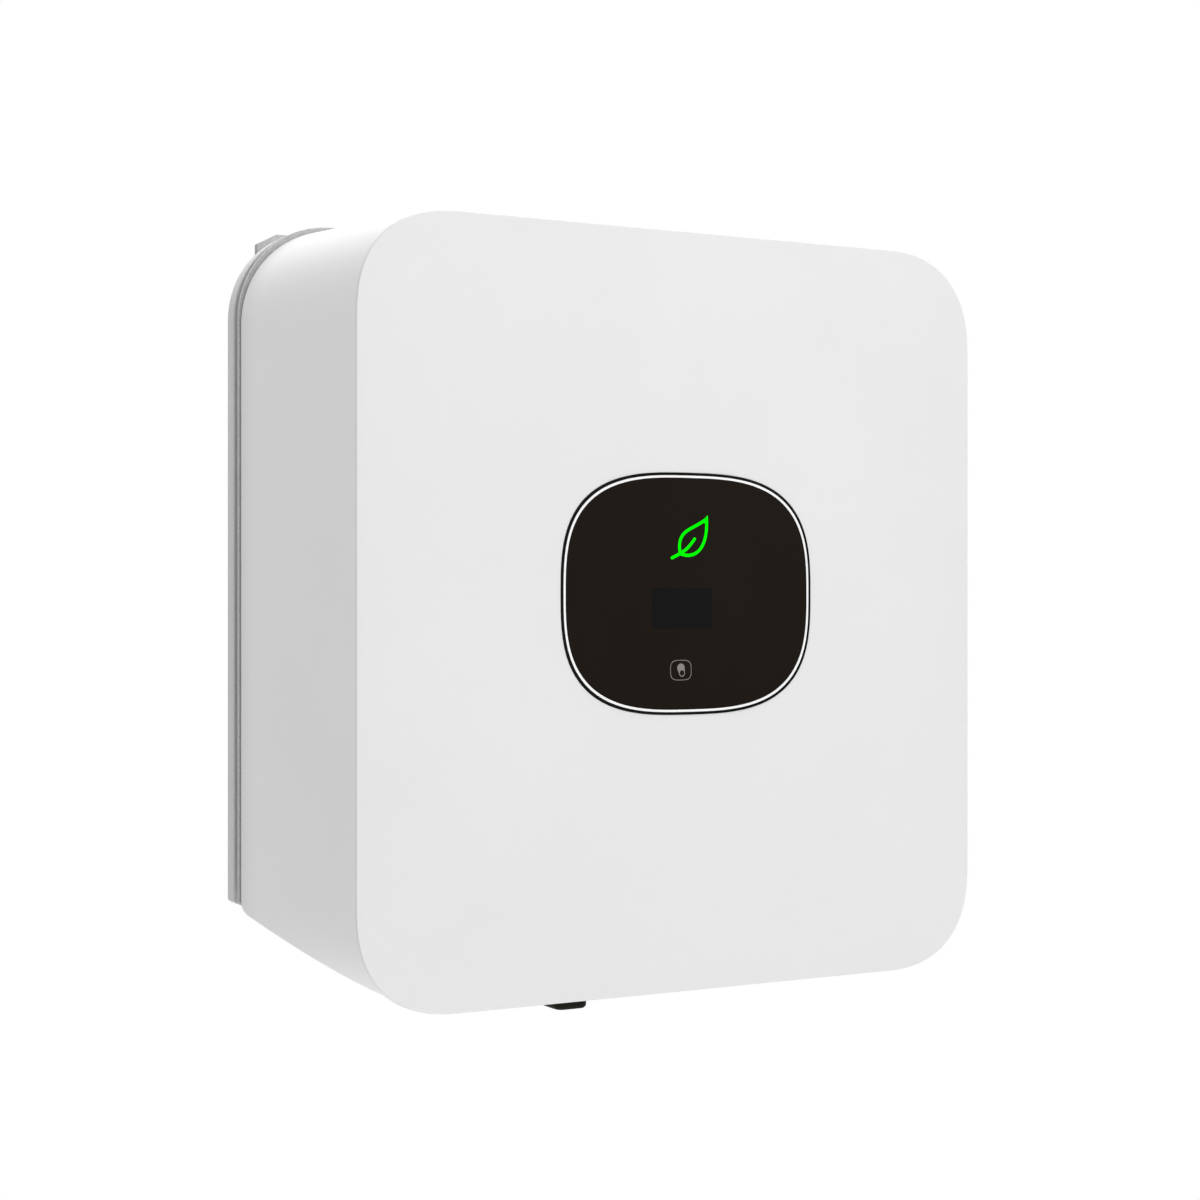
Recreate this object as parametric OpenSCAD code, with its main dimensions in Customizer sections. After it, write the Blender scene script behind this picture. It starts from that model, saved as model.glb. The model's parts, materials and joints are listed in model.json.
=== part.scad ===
// String inverter for a wall: a flared white cover over a finned heat sink, hung on a steel bracket.
// The wall is the plane y = 0, the front looks along -Y, and z = 0 is the middle of the front face.

/* [Cover] */
// Width of the front face
front_w = 239; // [225:1:280]
// Height of the front face
front_h = 258; // [250:1:300]
// Corner radius of the front face
front_r = 30.5; // [20:0.5:40]
// How far each side stands out at the rear past the front face
flare = 7.75; // [4:0.25:12]
// How far the top stands out at the rear past the front face
flare_top = 6; // [3:0.5:10]
// Corner radius of the cover's rear edge
rear_r = 35; // [28:1:42]
// Depth of the cover behind its front edge
cover_d = 90; // [88:1:120]
// Height of the pillow on the front face
crown = 2.5; // [1.5:0.5:4]
// Wall of the cover
wall = 3; // [2.5:0.1:3.5]
// Depth of the lip under the front face
lip_d = 4; // [4:0.5:12]
// Rise of the skirt's cut edge above the front's bottom edge, at the front
skirt_front = 7.8; // [3:0.1:8]
// Rise of the skirt's cut edge above the front's bottom edge, at the rear
skirt_rear = 24.5; // [20:0.5:25]

/* [Display] */
// Width of the display panel
panel_w = 97.8; // [90:0.1:104]
// Height of the display panel
panel_h = 81.8; // [76:0.1:90]
// Height of the panel's middle above the face's middle
panel_z = 6; // [0:0.5:12]
// Width of each of the panel's two rings
ring_t = 0.85; // [0.7:0.05:1.6]
// How far the panel stands proud of the face
panel_proud = 0.3; // [0.2:0.1:0.6]
// Thickness of the lens
lens_t = 3; // [2:0.1:3]
// Depth of the light, screen and key set into the lens
inlay_t = 0.8; // [0.5:0.1:1]
// Width of the screen
screen_w = 23.5; // [18:0.5:30]
// Height of the screen
screen_h = 13.8; // [10:0.1:18]
// Length of the leaf-shaped status light
leaf_l = 17; // [14:0.5:19]
// Width of the leaf-shaped status light
leaf_w = 8.25; // [7:0.05:12]
// Width of the leaf's stroke
leaf_stroke = 1.05; // [0.8:0.05:1.4]
// Width of the touch key's mark
key_w = 8.45; // [7:0.05:11]

/* [Chassis] */
// Thickness of the cover's gasket
gasket_t = 1.8; // [1:0.1:3]
// Thickness of the rear frame
frame_t = 1.5; // [1.2:0.1:3]
// How far the chassis stands above the cover's rear edge
frame_lip = 1.75; // [0.5:0.05:3]
// Depth of the groove between rear frame and heat sink
groove_d = 4; // [3.2:0.1:6]
// How far the groove runs in from the side
groove_in = 16; // [15:0.5:18]
// Rise of the chassis above the front's bottom edge
chassis_rise = 25.5; // [25.5:0.5:28]

/* [Heat sink] */
// Thickness of the base plate
base_t = 7; // [5:0.5:12]
// Corner radius of the base plate
base_r = 34; // [24:1:38]
// Depth of the fins
fin_d = 23; // [15:0.5:35]
// Thickness of a fin
fin_t = 2.2; // [1.6:0.1:3]
// Distance between fins
fin_pitch = 11; // [8:0.5:14]
// Distance from the base plate's side to the outer fin
fin_in = 16; // [12:1:24]

/* [Wall bracket] */
// Thickness of the bracket's steel
bracket_t = 2; // [1.5:0.1:3]
// Width of the bracket
bracket_w = 213; // [190:1:216]
// Distance of the wall screws across
bolt_x = 120; // [100:1:130]
// Distance of the wall screws up
bolt_z = 72; // [60:1:76]
// Radius of a wall screw's hole
bolt_r = 3.5; // [3:0.1:4.5]
// Thickness of the hooks and rails
hook_t = 1.5; // [1.2:0.1:2]
// Clearance on each side of a hook
hook_gap = 0.5; // [0.4:0.05:0.8]
// Height of a hook's tongue
tongue_h = 22; // [16:1:24]
// Width of a hook's tongue
tongue_w = 36; // [30:1:40]
// Distance of the hooks across
hook_x = 120; // [110:1:125]

/* [Connector plate] */
// Thickness of the plate that carries the connectors
plate_t = 3; // [2:0.1:4]
// Rise of the plate above the front's bottom edge
plate_rise = 29; // [28:0.5:32]
// Depth of the row of connectors behind the front edge
row_d = 50; // [45:0.5:54]
// Place of the switch across
switch_x = -24; // [-24.5:0.5:-22.5]
// Radius of the switch's collar
switch_r = 14.5; // [13:0.1:15]
// Length of the switch's knob
knob_h = 36.7; // [32:0.1:38]
// Width of the bar on the knob
handle_w = 11; // [8:0.5:12]
// Place of the positive solar socket across
pv_x = -78; // [-80:0.5:-77]
// Distance between the two solar sockets
pv_pitch = 23; // [22.5:0.1:24]
// Bore of a solar socket
pv_bore_r = 5.5; // [4.5:0.1:6]
// Length of a solar socket under the plate
pv_len = 34; // [32:0.5:36]
// Depth of a solar socket's bore
pv_depth = 18; // [14:0.5:18]
// Place of the data port across
port_x = 7; // [6:0.5:8]
// Radius of the data port's cap
cap_r = 8.5; // [8.3:0.1:9]
// Length of the data port's cap
cap_len = 24; // [20:0.5:28]
// Outside radius of the data port's tube
port_r = 7; // [6:0.1:7.2]
// Bore of the data port
port_bore_r = 5.2; // [4:0.1:5.6]
// Place of the breather across
breather_x = 25; // [24.5:0.5:28]
// Place of the grid socket across
grid_x = 58; // [56:0.5:62]
// Outside radius of the grid socket's barrel
grid_r = 16.5; // [15:0.1:18]
// Bore of the grid socket
grid_bore_r = 13.5; // [12:0.1:14]
// Length of the grid socket under the plate
grid_len = 33; // [31:0.5:36]
// Depth of the grid socket's bore
grid_depth = 18; // [14:0.5:18]
// Place of the earth screw across
earth_x = 97; // [90:0.5:102]

/* [Boards] */
// Width of the power board
board_w = 172; // [160:1:176]
// Gap from the power board up to the edge of the chassis window
board_gap = 6.25; // [4:0.25:10]
// Thickness of a board
board_t = 1.6; // [1.2:0.1:2]
// Length of the posts under the power board
post_len = 28; // [26:0.5:32]
// Radius of a bus capacitor
cap_body_r = 11; // [9:0.5:12]
// Height of a bus capacitor
cap_body_h = 38; // [30:1:42]
// Clearance between pieces that fit
fit = 0.1; // [0.05:0.01:0.15]

/* [Hidden] */
$fn = 64;
hull_fn = 48;
skin = 0.01;
far = 400;

// Planes from the wall to the front
y_lip = -bracket_t - hook_gap - 0.2;
y_tongue = y_lip - hook_t - hook_gap;
y_rail = y_tongue - hook_t - hook_gap;
y_fin = y_rail - hook_t;
y_base = y_fin - fin_d;
y_sink = y_base - base_t;
y_groove = y_sink - groove_d;
y_seal = y_groove - frame_t;
y_cover = y_seal - gasket_t;
y_front = y_cover - cover_d;
y_face = y_front - crown;
y_inner = y_face + wall;

// Heights
z_bottom = -front_h / 2;
z_cover_top = front_h / 2 + flare_top;
z_rear_top = z_cover_top + frame_lip;
z_chassis = z_bottom + chassis_rise;
z_plate = z_bottom + plate_rise;
z_deck = z_plate + plate_t;
rear_w = front_w + 2 * flare;
rear_h = 2 * z_rear_top;
inner_r = 4;

// Crown of the front face, in steps in from the edge
crown_reach = 56;
crown_steps = 6;

// Gasket and frame widths
gasket_in = 0.5;
gasket_w = 6;
seal_w = 6;
window_in = groove_in + seal_w + 13.5;

// Cover screws into bosses near the rear edge
boss_r = 6.5;
boss_len = 24;
boss_in = 9;
cover_screw_r = 2;
cover_screw_hold = 14;
side_x = rear_w / 2 - boss_in;
cover_spots = [
    for (s = [-1, 1])
        each [[s * side_x, z_chassis + 31], [s * side_x, 60], [s * 55, z_cover_top - boss_in]]
];

// Frame screws, between the seal and the window
frame_screw_r = 2.5;
frame_screw_short = 2.5;
frame_in = groove_in + seal_w + 6.5;
frame_x = rear_w / 2 - frame_in;
frame_spots = [
    for (s = [-1, 1])
        each [
            [s * frame_x, z_chassis + frame_in],
            [s * frame_x, 18],
            [s * 55, z_rear_top - frame_in],
            [s * 55, z_chassis + frame_in]
        ]
];

// Hanging hooks
hook_drop = 27;
tongue_top = z_rear_top - hook_drop;
rail_top = tongue_top + 0.3 + hook_t;
rail_foot = tongue_top - tongue_h - 4;
rail_w = tongue_w + 24;
rail_back = tongue_w + 4;
hook_floor = tongue_top - tongue_h;
y_hook = y_tongue - hook_t;
lip_h = 17;
rail_screw_r = 2;
rail_screw_len = 10;
rail_foot_h = 12;
rail_screw_z = rail_foot + rail_foot_h / 2;
rail_screw_in = 5;
rail_screw_xs = [for (s = [-1, 1]) for (k = [-1, 1]) s * hook_x / 2 + k * (rail_w / 2 - rail_screw_in)];
bracket_rise = 3.35;
bracket_top = z_rear_top + bracket_rise;
rest_z = -48;
rest_w = 24;
rest_gap = 0.3;

// Row of connectors
y_row = y_front + row_d;
pv_wall = 2.2;
pv_flange_r = 11;
pv_flange_h = 6;
pv_stem_r = 6;
pv_well_r = 3.6;
pv_well_top = z_plate - 9;
pv_pin_r = 1.8;
pv_pin_foot = z_plate - 14;
pv_xs = [pv_x, pv_x + pv_pitch];
nut_h = 5;
nut_r = 10;
stem_h = plate_t + nut_h + 8;
port_collar_r = 8.8;
port_collar_h = 9;
port_len = port_collar_h + 15;
cap_top = z_plate - port_collar_h - 0.4;
cap_tip = cap_top - cap_len;
collar_h = 2.5;
shaft_r = 3;
knob_top = z_plate - collar_h - 0.3;
knob_disc_h = 12;
switch_w = 38;
switch_d = 30;
switch_h = 40;
grid_flange = 40;
grid_flange_h = 5;
grid_stem_r = 12;
grid_stem_h = 10;
grid_well_r = 10.5;
grid_well_top = z_plate - 7;
grid_pin_r = 1.6;
grid_pin_foot = z_plate - 13;
grid_pin_ring = 5.5;
grid_pin_rise = 6;
grid_pin_angles = [210, 90, 330];
grid_screw_in = 5;
grid_screw_r = 1.7;
grid_screw_hold = 4;
grid_screw_at = grid_flange / 2 - grid_screw_in;
breather_r = 3;
breather_head_r = 8;
breather_head_h = 6;
earth_r = 2.5;
washer_t = 1.2;
earth_head_h = 3.2;

// Power board and what stands on it
y_board = y_sink - post_len;
y_parts = y_board - board_t;
board_rise = 33.5;
board_foot = z_chassis + board_rise;
board_h = z_rear_top - window_in - board_gap - board_foot;
board_z = board_foot + board_h / 2;
board_full = 165;
layout = board_h / board_full;
part_scale = min(1, layout);
post_in = 6;
post_r = 3.5;
stud_r = 2;
stud_len = 4;
board_screw_r = 1.5;
board_screw_len = 6;
post_spots = [
    for (s = [-1, 1])
        for (k = [-1, 0, 1])
            [s * (board_w / 2 - post_in), board_z + k * (board_h / 2 - post_in)]
];
pad_t = 0.5;
device_w = 16;
device_h = 21;
device_t = 5;
device_pitch = 20;
device_count = 6;
device_at = 44;
device_z = board_z + device_at * layout;
bar_t = 1.5;
bar_h = 11;
clamp_screw_r = 1.6;
leg_w = 1.2;
leg_pitch = 4;
leg_z = device_z - device_h + 0.4;
y_clamp = y_sink - pad_t - device_t - bar_t;

// Places of the parts on the board, across and up from its middle
capacitor_at = [-62, 55];
capacitor_gap = 3;
boost_at = [-54, -8];
boost_size = [24, 9, 28];
filter_at = [[48, 52], [48, 8]];
filter_size = [18, 7, 26];
noise_at = [6, -52];
noise_size = [16, 7, 22];
film_at = [-4, -8];
film_size = [11, 24, 30];
film_pitch = 14;
relay_at = [36, -50];
relay_size = [18, 17, 28];
relay_pitch = 21;
transformer_at = [-26, -66];
transformer_size = [26, 24, 26];
sensor_at = [-20, -32];
sensor_size = [16, 16, 14];
card_x = board_w / 2 - 13;
card_foot = -24;
card_d = 40;
card_h = 84;
chip_s = 14;
chip_t = 2;

// Display parts behind the lens
screen_rim = 6;
display_screw_hold = 4;
lens_inner = 4 * ring_t;
y_lens = y_face - panel_proud;
ledge_t = 1.5;
ledge_w = 3;
display_board_h = 70;
y_display_board = y_inner + ledge_t + 6;
display_post_x = panel_w / 2 + 8;
display_post_z = 22;
display_post_r = 4;
display_screw_r = 1.5;
screen_x = -3.1;
key_x = -3.5;

foot_r = 2.5;
handle_r = 3;

// Flat shapes
module rounded(w, h, r) {
    square([w, h - 2 * r], center = true);
    square([w - 2 * r, h], center = true);
    for (sx = [-1, 1], sz = [-1, 1])
        translate([sx * (w / 2 - r), sz * (h / 2 - r)]) circle(r);
}

module outline(grow) {
    rounded(front_w + 2 * grow, front_h + 2 * grow, max(front_r + grow, 2));
}

module arch(w, h, r, foot) {
    intersection() {
        rounded(w, h, r);
        translate([0, foot + far / 2]) rounded(w + 0.5, far, foot_r);
    }
}

module chassis_arch(inset) {
    arch(rear_w - 2 * inset, rear_h - 2 * inset, max(base_r - inset, inner_r), z_chassis + inset);
}

module cover_arch(inset) {
    arch(rear_w - 2 * inset, 2 * (z_cover_top - inset), rear_r - inset, z_chassis + inset);
}

// The cover's outline at its rear edge, or past it
module rear_outline(past, inset) {
    run = 1 + past / cover_d;
    rounded(front_w + 2 * (flare * run - inset), front_h + 2 * (flare_top * run - inset), rear_r - inset);
}

function squircle(w, h, n, count) = [
    for (i = [0:count - 1])
        let (c = cos(360 * i / count), s = sin(360 * i / count))
            [w / 2 * sign(c) * pow(abs(c), 2 / n), h / 2 * sign(s) * pow(abs(s), 2 / n)]
];

module panel_shape(inset) {
    translate([0, panel_z])
        polygon(squircle(panel_w - 2 * inset, panel_h - 2 * inset, 3, 72));
}

// A flat shape in x and z made into a plate whose rear face is at y
module slab(y, t) {
    translate([0, y, 0]) rotate([90, 0, 0]) linear_extrude(t) children();
}

// A flat shape in y and z drawn out along x
module along_x(w) {
    rotate([90, 0, 90]) linear_extrude(w, center = true) children();
}

// A round bar along y, from y forward
module bar_y(x, y, z, r, len) {
    translate([x, y, z]) rotate([90, 0, 0]) cylinder(r = r, h = len);
}

// A screw along y: its head in front of y, its shank behind
module screw_front(x, y, z, r, len) {
    bar_y(x, y, z, r * 1.9, r * 1.1);
    bar_y(x, y + len, z, r, len + skin);
}

// A screw along y: its head behind y, its shank in front
module screw_rear(x, y, z, r, len) {
    bar_y(x, y + r * 1.1, z, r * 1.9, r * 1.1);
    bar_y(x, y + skin, z, r, len + skin);
}

// A hexagon along z, from z up
module hex_up(x, y, z, r, h) {
    translate([x, y, z]) cylinder(r = r, h = h, $fn = 6);
}

module rod_up(x, y, z, r, h) {
    translate([x, y, z]) cylinder(r = r, h = h);
}

module block(x, y, z, w, d, h) {
    translate([x - w / 2, y, z]) cube([w, d, h]);
}

// A tube along a list of points, one ring at each point
function unit(v) = v / norm(v);
function ring_axis(p, i) = unit(p[min(i + 1, len(p) - 1)] - p[max(i - 1, 0)]);
function ring_side(t) = unit(cross(t, abs(t[1]) < 0.9 ? [0, 1, 0] : [1, 0, 0]));

module tube(p, r, sides = 8) {
    n = len(p);
    points = [
        for (i = [0:n - 1])
            let (t = ring_axis(p, i), u = ring_side(t), v = cross(t, u))
                for (k = [0:sides - 1])
                    p[i] + r * (cos(360 * k / sides) * u + sin(360 * k / sides) * v)
    ];
    walls = [
        for (i = [0:n - 2])
            for (k = [0:sides - 1])
                let (a = i * sides + k, b = i * sides + (k + 1) % sides)
                    each [[a, a + sides, b], [b, a + sides, b + sides]]
    ];
    near_end = [for (k = [0:sides - 1]) k];
    far_end = [for (k = [sides - 1:-1:0]) (n - 1) * sides + k];
    polyhedron(points, concat(walls, [near_end, far_end]));
}

// Points of a smooth bend from a to b, leaving along da and arriving along db
function bend(a, da, b, db, count) = [
    for (i = [0:count])
        let (t = i / count, s = 1 - t)
            s * s * s * a + 3 * s * s * t * (a + da) + 3 * s * t * t * (b - db) + t * t * t * b
];

// The same bend with a short straight stretch at each end, so that its ends are square
function lead(a, da, b, db, count) =
    concat([a], bend(a + unit(da), da, b - unit(db), db, count), [b]);

// The cover
module cover_form(inset, back, over) {
    hull() {
        slab(y_cover + over, skin) rear_outline(over, inset, $fn = hull_fn);
        for (i = [0:crown_steps]) {
            run = i / crown_steps;
            rise = crown * (1 - pow(1 - run, 2));
            slab(y_front + skin - rise + back, skin) outline(-inset - crown_reach * run, $fn = hull_fn);
        }
    }
}

module skirt_cut() {
    along_x(far)
        polygon([
            [y_front + lip_d, -far],
            [y_front + lip_d, z_bottom + skirt_front],
            [y_cover + 1, z_bottom + skirt_rear],
            [y_cover + 1, -far]
        ]);
}

module front_cover() color("whitesmoke") {
    difference() {
        union() {
            difference() {
                cover_form(0, 0, 0);
                cover_form(wall, wall, 1);
            }
            intersection() {
                cover_form(wall / 2, wall / 2, 0);
                union() {
                    for (p = cover_spots) bar_y(p[0], y_cover, p[1], boss_r, boss_len);
                    for (sx = [-1, 1], sz = [-1, 1])
                        bar_y(sx * display_post_x, y_display_board, panel_z + sz * display_post_z,
                            display_post_r, far);
                }
            }
        }
        skirt_cut();
        slab(y_inner + 1, wall + 2) panel_shape(-fit);
        for (p = cover_spots) bar_y(p[0], y_cover + 1, p[1], cover_screw_r + fit, boss_len - 6);
        for (sx = [-1, 1], sz = [-1, 1])
            bar_y(sx * display_post_x, y_display_board + 1, panel_z + sz * display_post_z,
                display_screw_r + fit, 6);
    }
}

module display_bezel() color([0.1, 0.09, 0.08]) {
    difference() {
        union() {
            slab(y_inner + skin, wall + panel_proud + skin) panel_shape(0);
            slab(y_inner + ledge_t, ledge_t) panel_shape(-ledge_w);
        }
        slab(y_lens + lens_t, far) panel_shape(ring_t);
        slab(y_inner + ledge_t + 1, far) panel_shape(lens_inner);
    }
}

module display_ring() color("white")
    difference() {
        slab(y_lens + lens_t, lens_t) panel_shape(ring_t + fit);
        slab(y_lens + lens_t + 1, lens_t + 2) panel_shape(2 * ring_t);
    }

// The leaf: two curves from its foot to its tip, drawn as an outline, and a curve for its stalk and vein.
// Their control points lie in shares of the leaf's width and length, from its foot.
leaf_turn = -39.4;
leaf_foot = [-3.8, panel_z + 13.6];

function leaf_points(shares) = [for (p = shares) [p[0] * leaf_w, p[1] * leaf_l]];

leaf_left = leaf_points([[0, 0], [-0.789, 0.323], [-0.15, 0.528], [0.061, 0.93]]);
leaf_right = leaf_points([[0, 0], [0.448, 0.061], [1.109, 0.362], [0.061, 0.93]]);
leaf_vein = leaf_points([[-0.177, -0.186], [0.152, 0.136], [0.156, 0.196], [0.15, 0.437]]);
leaf_steps = 24;
leaf_caps = 8;

function curve(p, t) =
    pow(1 - t, 3) * p[0] + 3 * t * pow(1 - t, 2) * p[1] + 3 * t * t * (1 - t) * p[2] + pow(t, 3) * p[3];

function curve_way(p, t) =
    pow(1 - t, 2) * (p[1] - p[0]) + 2 * t * (1 - t) * (p[2] - p[1]) + t * t * (p[3] - p[2]);

// Points beside a curve, to its left by off, from one share of its length to another
function beside(p, off, from, to) = [
    for (i = [0:leaf_steps])
        let (t = from + (to - from) * i / leaf_steps, way = curve_way(p, t))
            curve(p, t) + off * [-way[1], way[0]] / norm(way)
];

// The round end of a stroke, half a turn back from an angle to the curve's way
function round_end(p, half, t, from) =
    let (way = curve_way(p, t), start = atan2(way[1], way[0]) + from) [
        for (i = [1:leaf_caps - 1])
            let (a = start - 180 * i / leaf_caps)
                curve(p, t) + half * [cos(a), sin(a)]
    ];

module leaf_shape(grow) {
    half = leaf_stroke / 2 + grow;
    translate(leaf_foot) rotate(leaf_turn) {
        difference() {
            polygon(concat(
                beside(leaf_left, half, 0, 1), [[0, leaf_l + grow]], beside(leaf_right, -half, 1, 0)
            ));
            polygon(concat(beside(leaf_left, -half, 0.03, 0.92), beside(leaf_right, half, 0.955, 0.05)));
        }
        polygon(concat(
            beside(leaf_vein, half, 0, 1), round_end(leaf_vein, half, 1, 90),
            beside(leaf_vein, -half, 1, 0), round_end(leaf_vein, half, 0, 270)
        ));
    }
}

module screen_shape(grow) {
    translate([screen_x, panel_z - panel_h * 0.06])
        rounded(screen_w + 2 * grow, screen_h + 2 * grow, 1);
}

// The touch field's mark: a frame round a pointing finger
key_stroke = 0.3;
key_n = 3.5;
key_dot_r = 1.42;
key_loop_r = 1.05;

module key_shape(grow) {
    key_h = key_w * 0.855;
    edge = key_stroke + grow;
    translate([key_x, panel_z - panel_h * 0.316]) {
        difference() {
            polygon(squircle(key_w + 2 * grow, key_h + 2 * grow, key_n, 48));
            polygon(squircle(key_w - 2 * edge, key_h - 2 * edge, key_n, 48));
        }
        translate([0, 0.84]) circle(key_dot_r + grow);
        translate([0.5, -1.1])
            difference() {
                circle(key_loop_r + grow);
                circle(key_loop_r - edge);
            }
    }
}

module display_lens() color([0.13, 0.11, 0.09])
    difference() {
        slab(y_lens + lens_t, lens_t) panel_shape(2 * ring_t + fit);
        slab(y_lens + inlay_t, inlay_t + 1) leaf_shape(fit);
        slab(y_lens + inlay_t, inlay_t + 1) screen_shape(fit);
        slab(y_lens + inlay_t, inlay_t + 1) key_shape(fit);
    }

module status_leaf() color("lime") slab(y_lens + inlay_t, inlay_t) leaf_shape(0);

module display_screen() color([0.1, 0.1, 0.1]) slab(y_lens + inlay_t, inlay_t) screen_shape(0);

module touch_key() color("gray") slab(y_lens + inlay_t, inlay_t) key_shape(0);

module display_board() color("darkgreen")
    difference() {
        slab(y_display_board + board_t, board_t)
            translate([0, panel_z]) rounded(2 * display_post_x + 10, display_board_h, 3);
        for (sx = [-1, 1], sz = [-1, 1])
            bar_y(sx * display_post_x, y_display_board + board_t + 1, panel_z + sz * display_post_z,
                display_screw_r + fit, board_t + 2);
    }

module screen_module() color("dimgray")
    slab(y_display_board, y_display_board - y_lens - lens_t)
        translate([screen_x, panel_z - panel_h * 0.06])
            square([screen_w + screen_rim, screen_h + screen_rim], center = true);

module display_screws() color("silver")
    for (sx = [-1, 1], sz = [-1, 1])
        screw_rear(sx * display_post_x, y_display_board + board_t, panel_z + sz * display_post_z,
            display_screw_r, board_t + display_screw_hold);

// Seals, frame and heat sink
module cover_gasket() color("dimgray")
    slab(y_seal, gasket_t)
        difference() {
            cover_arch(gasket_in);
            cover_arch(gasket_in + gasket_w);
        }

module rear_frame() color("darkgray")
    difference() {
        slab(y_groove, frame_t) chassis_arch(0);
        slab(y_groove + 1, frame_t + 2) chassis_arch(window_in);
        for (p = cover_spots) bar_y(p[0], y_groove + 1, p[1], cover_screw_r + fit, frame_t + 2);
        for (p = frame_spots) bar_y(p[0], y_groove + 1, p[1], frame_screw_r + fit, frame_t + 2);
        for (x = plate_screw_xs) bar_y(x, y_groove + 1, plate_screw_z, plate_screw_r + fit, frame_t + 2);
    }

module groove_seal() color([0.2, 0.2, 0.2])
    slab(y_sink, groove_d)
        difference() {
            chassis_arch(groove_in);
            chassis_arch(groove_in + seal_w);
        }

fin_span = rear_w - 2 * fin_in;
fin_count = floor(fin_span / fin_pitch) + 1;
fin_foot = z_chassis;
fin_top = z_rear_top - base_r * 0.55;
access_r = cover_screw_r * 1.9 + 0.8;

module heat_sink() color("lightgray")
    difference() {
        union() {
            slab(y_base, base_t) chassis_arch(0);
            for (i = [0:fin_count - 1])
                block((i - (fin_count - 1) / 2) * fin_pitch, y_base - skin, fin_foot, fin_t, fin_d + skin,
                    fin_top - fin_foot);
            for (s = [-1, 1])
                block(s * hook_x / 2, y_base - skin, rail_foot, rail_w, fin_d + skin, rail_foot_h);
        }
        for (p = cover_spots) bar_y(p[0], y_fin + 1, p[1], access_r, fin_d + base_t + 2);
        for (p = frame_spots) bar_y(p[0], y_base - 1, p[1], frame_screw_r + fit, base_t);
        for (x = rail_screw_xs) bar_y(x, y_fin + 1, rail_screw_z, rail_screw_r + fit, rail_screw_len + 2);
        for (p = post_spots) bar_y(p[0], y_sink + stud_len + 1, p[1], stud_r + fit, stud_len + 2);
        for (x = clamp_xs) bar_y(x, y_sink + stud_len + 1, device_z, clamp_screw_r + fit, stud_len + 2);
    }

module frame_screws() color("silver")
    for (p = frame_spots)
        screw_front(p[0], y_seal, p[1], frame_screw_r, frame_t + groove_d + base_t - frame_screw_short);

module cover_screws() color("silver")
    for (p = cover_spots)
        screw_rear(p[0], y_groove, p[1], cover_screw_r, frame_t + gasket_t + cover_screw_hold);

// Rails hook over the bracket's tongues
module hanger_rails() color("gainsboro")
    difference() {
        for (s = [-1, 1]) translate([s * hook_x / 2, 0, 0]) {
            block(0, y_rail - hook_t, rail_foot, rail_w, hook_t, rail_foot_h);
            block(0, y_rail - hook_t, rail_foot, rail_back, hook_t, rail_top - rail_foot);
            block(0, y_rail - skin, rail_top - hook_t, rail_back, y_lip - y_rail + skin, hook_t);
            block(0, y_lip - hook_t, rail_top - lip_h, rail_back, hook_t, lip_h);
        }
        for (x = rail_screw_xs) bar_y(x, y_rail + 1, rail_screw_z, rail_screw_r + fit, hook_t + 2);
    }

module rail_screws() color("silver")
    for (x = rail_screw_xs) screw_rear(x, y_rail, rail_screw_z, rail_screw_r, hook_t + rail_screw_len);

// The bracket: a pressed steel plate with two hooks and two rests
ear_w = 8;
ear_drop = 4.2;
bolt_margin = 22;
shoulder_drop = 16;
neck_drop = 34;
bracket_foot = rest_z - 8;
window_r = 8;
upper_window_w = 60;
upper_window_h = 50;

module bracket_shape() {
    neck_w = bolt_x + 2 * bolt_margin;
    difference() {
        polygon([
            [-bracket_w / 2, bracket_top - ear_drop],
            [-bracket_w / 2 + ear_w, bracket_top],
            [bracket_w / 2 - ear_w, bracket_top],
            [bracket_w / 2, bracket_top - ear_drop],
            [bracket_w / 2, hook_floor - shoulder_drop],
            [neck_w / 2, hook_floor - neck_drop],
            [neck_w / 2, bracket_foot],
            [-neck_w / 2, bracket_foot],
            [-neck_w / 2, hook_floor - neck_drop],
            [-bracket_w / 2, hook_floor - shoulder_drop]
        ]);
        for (sx = [-1, 1], sz = [-1, 1]) translate([sx * bolt_x / 2, sz * bolt_z / 2]) circle(bolt_r);
        rounded(bolt_x - 2 * bolt_margin, bolt_z, window_r);
        translate([0, hook_floor - 4]) rounded(upper_window_w, upper_window_h, window_r);
    }
}

module wall_bracket() color("silver") {
    slab(0, bracket_t) bracket_shape();
    for (s = [-1, 1]) translate([s * hook_x / 2, 0, 0]) {
        block(0, y_hook, hook_floor - hook_t, tongue_w, -bracket_t - y_hook + skin, hook_t);
        block(0, y_hook, hook_floor - skin, tongue_w, hook_t, tongue_h);
        block(0, y_fin + rest_gap, rest_z, rest_w, -bracket_t - y_fin - rest_gap + skin, bracket_t);
    }
}

// Connector plate, closing the bottom of the cover
plate_gap = 0.4;
plate_front = y_front + wall + plate_gap;
plate_half_front = front_w / 2 - wall - plate_gap;
plate_half_rear = front_w / 2 + flare - wall - plate_gap;
plate_flange_h = 10;
plate_flange_w = 2 * plate_half_front - 30;
plate_flange_z = z_chassis + gasket_in + gasket_w + 0.2;
plate_screw_r = 1.8;
plate_screw_z = plate_flange_z + plate_flange_h / 2;
plate_screw_xs = [-80, 0, 80];

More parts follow.
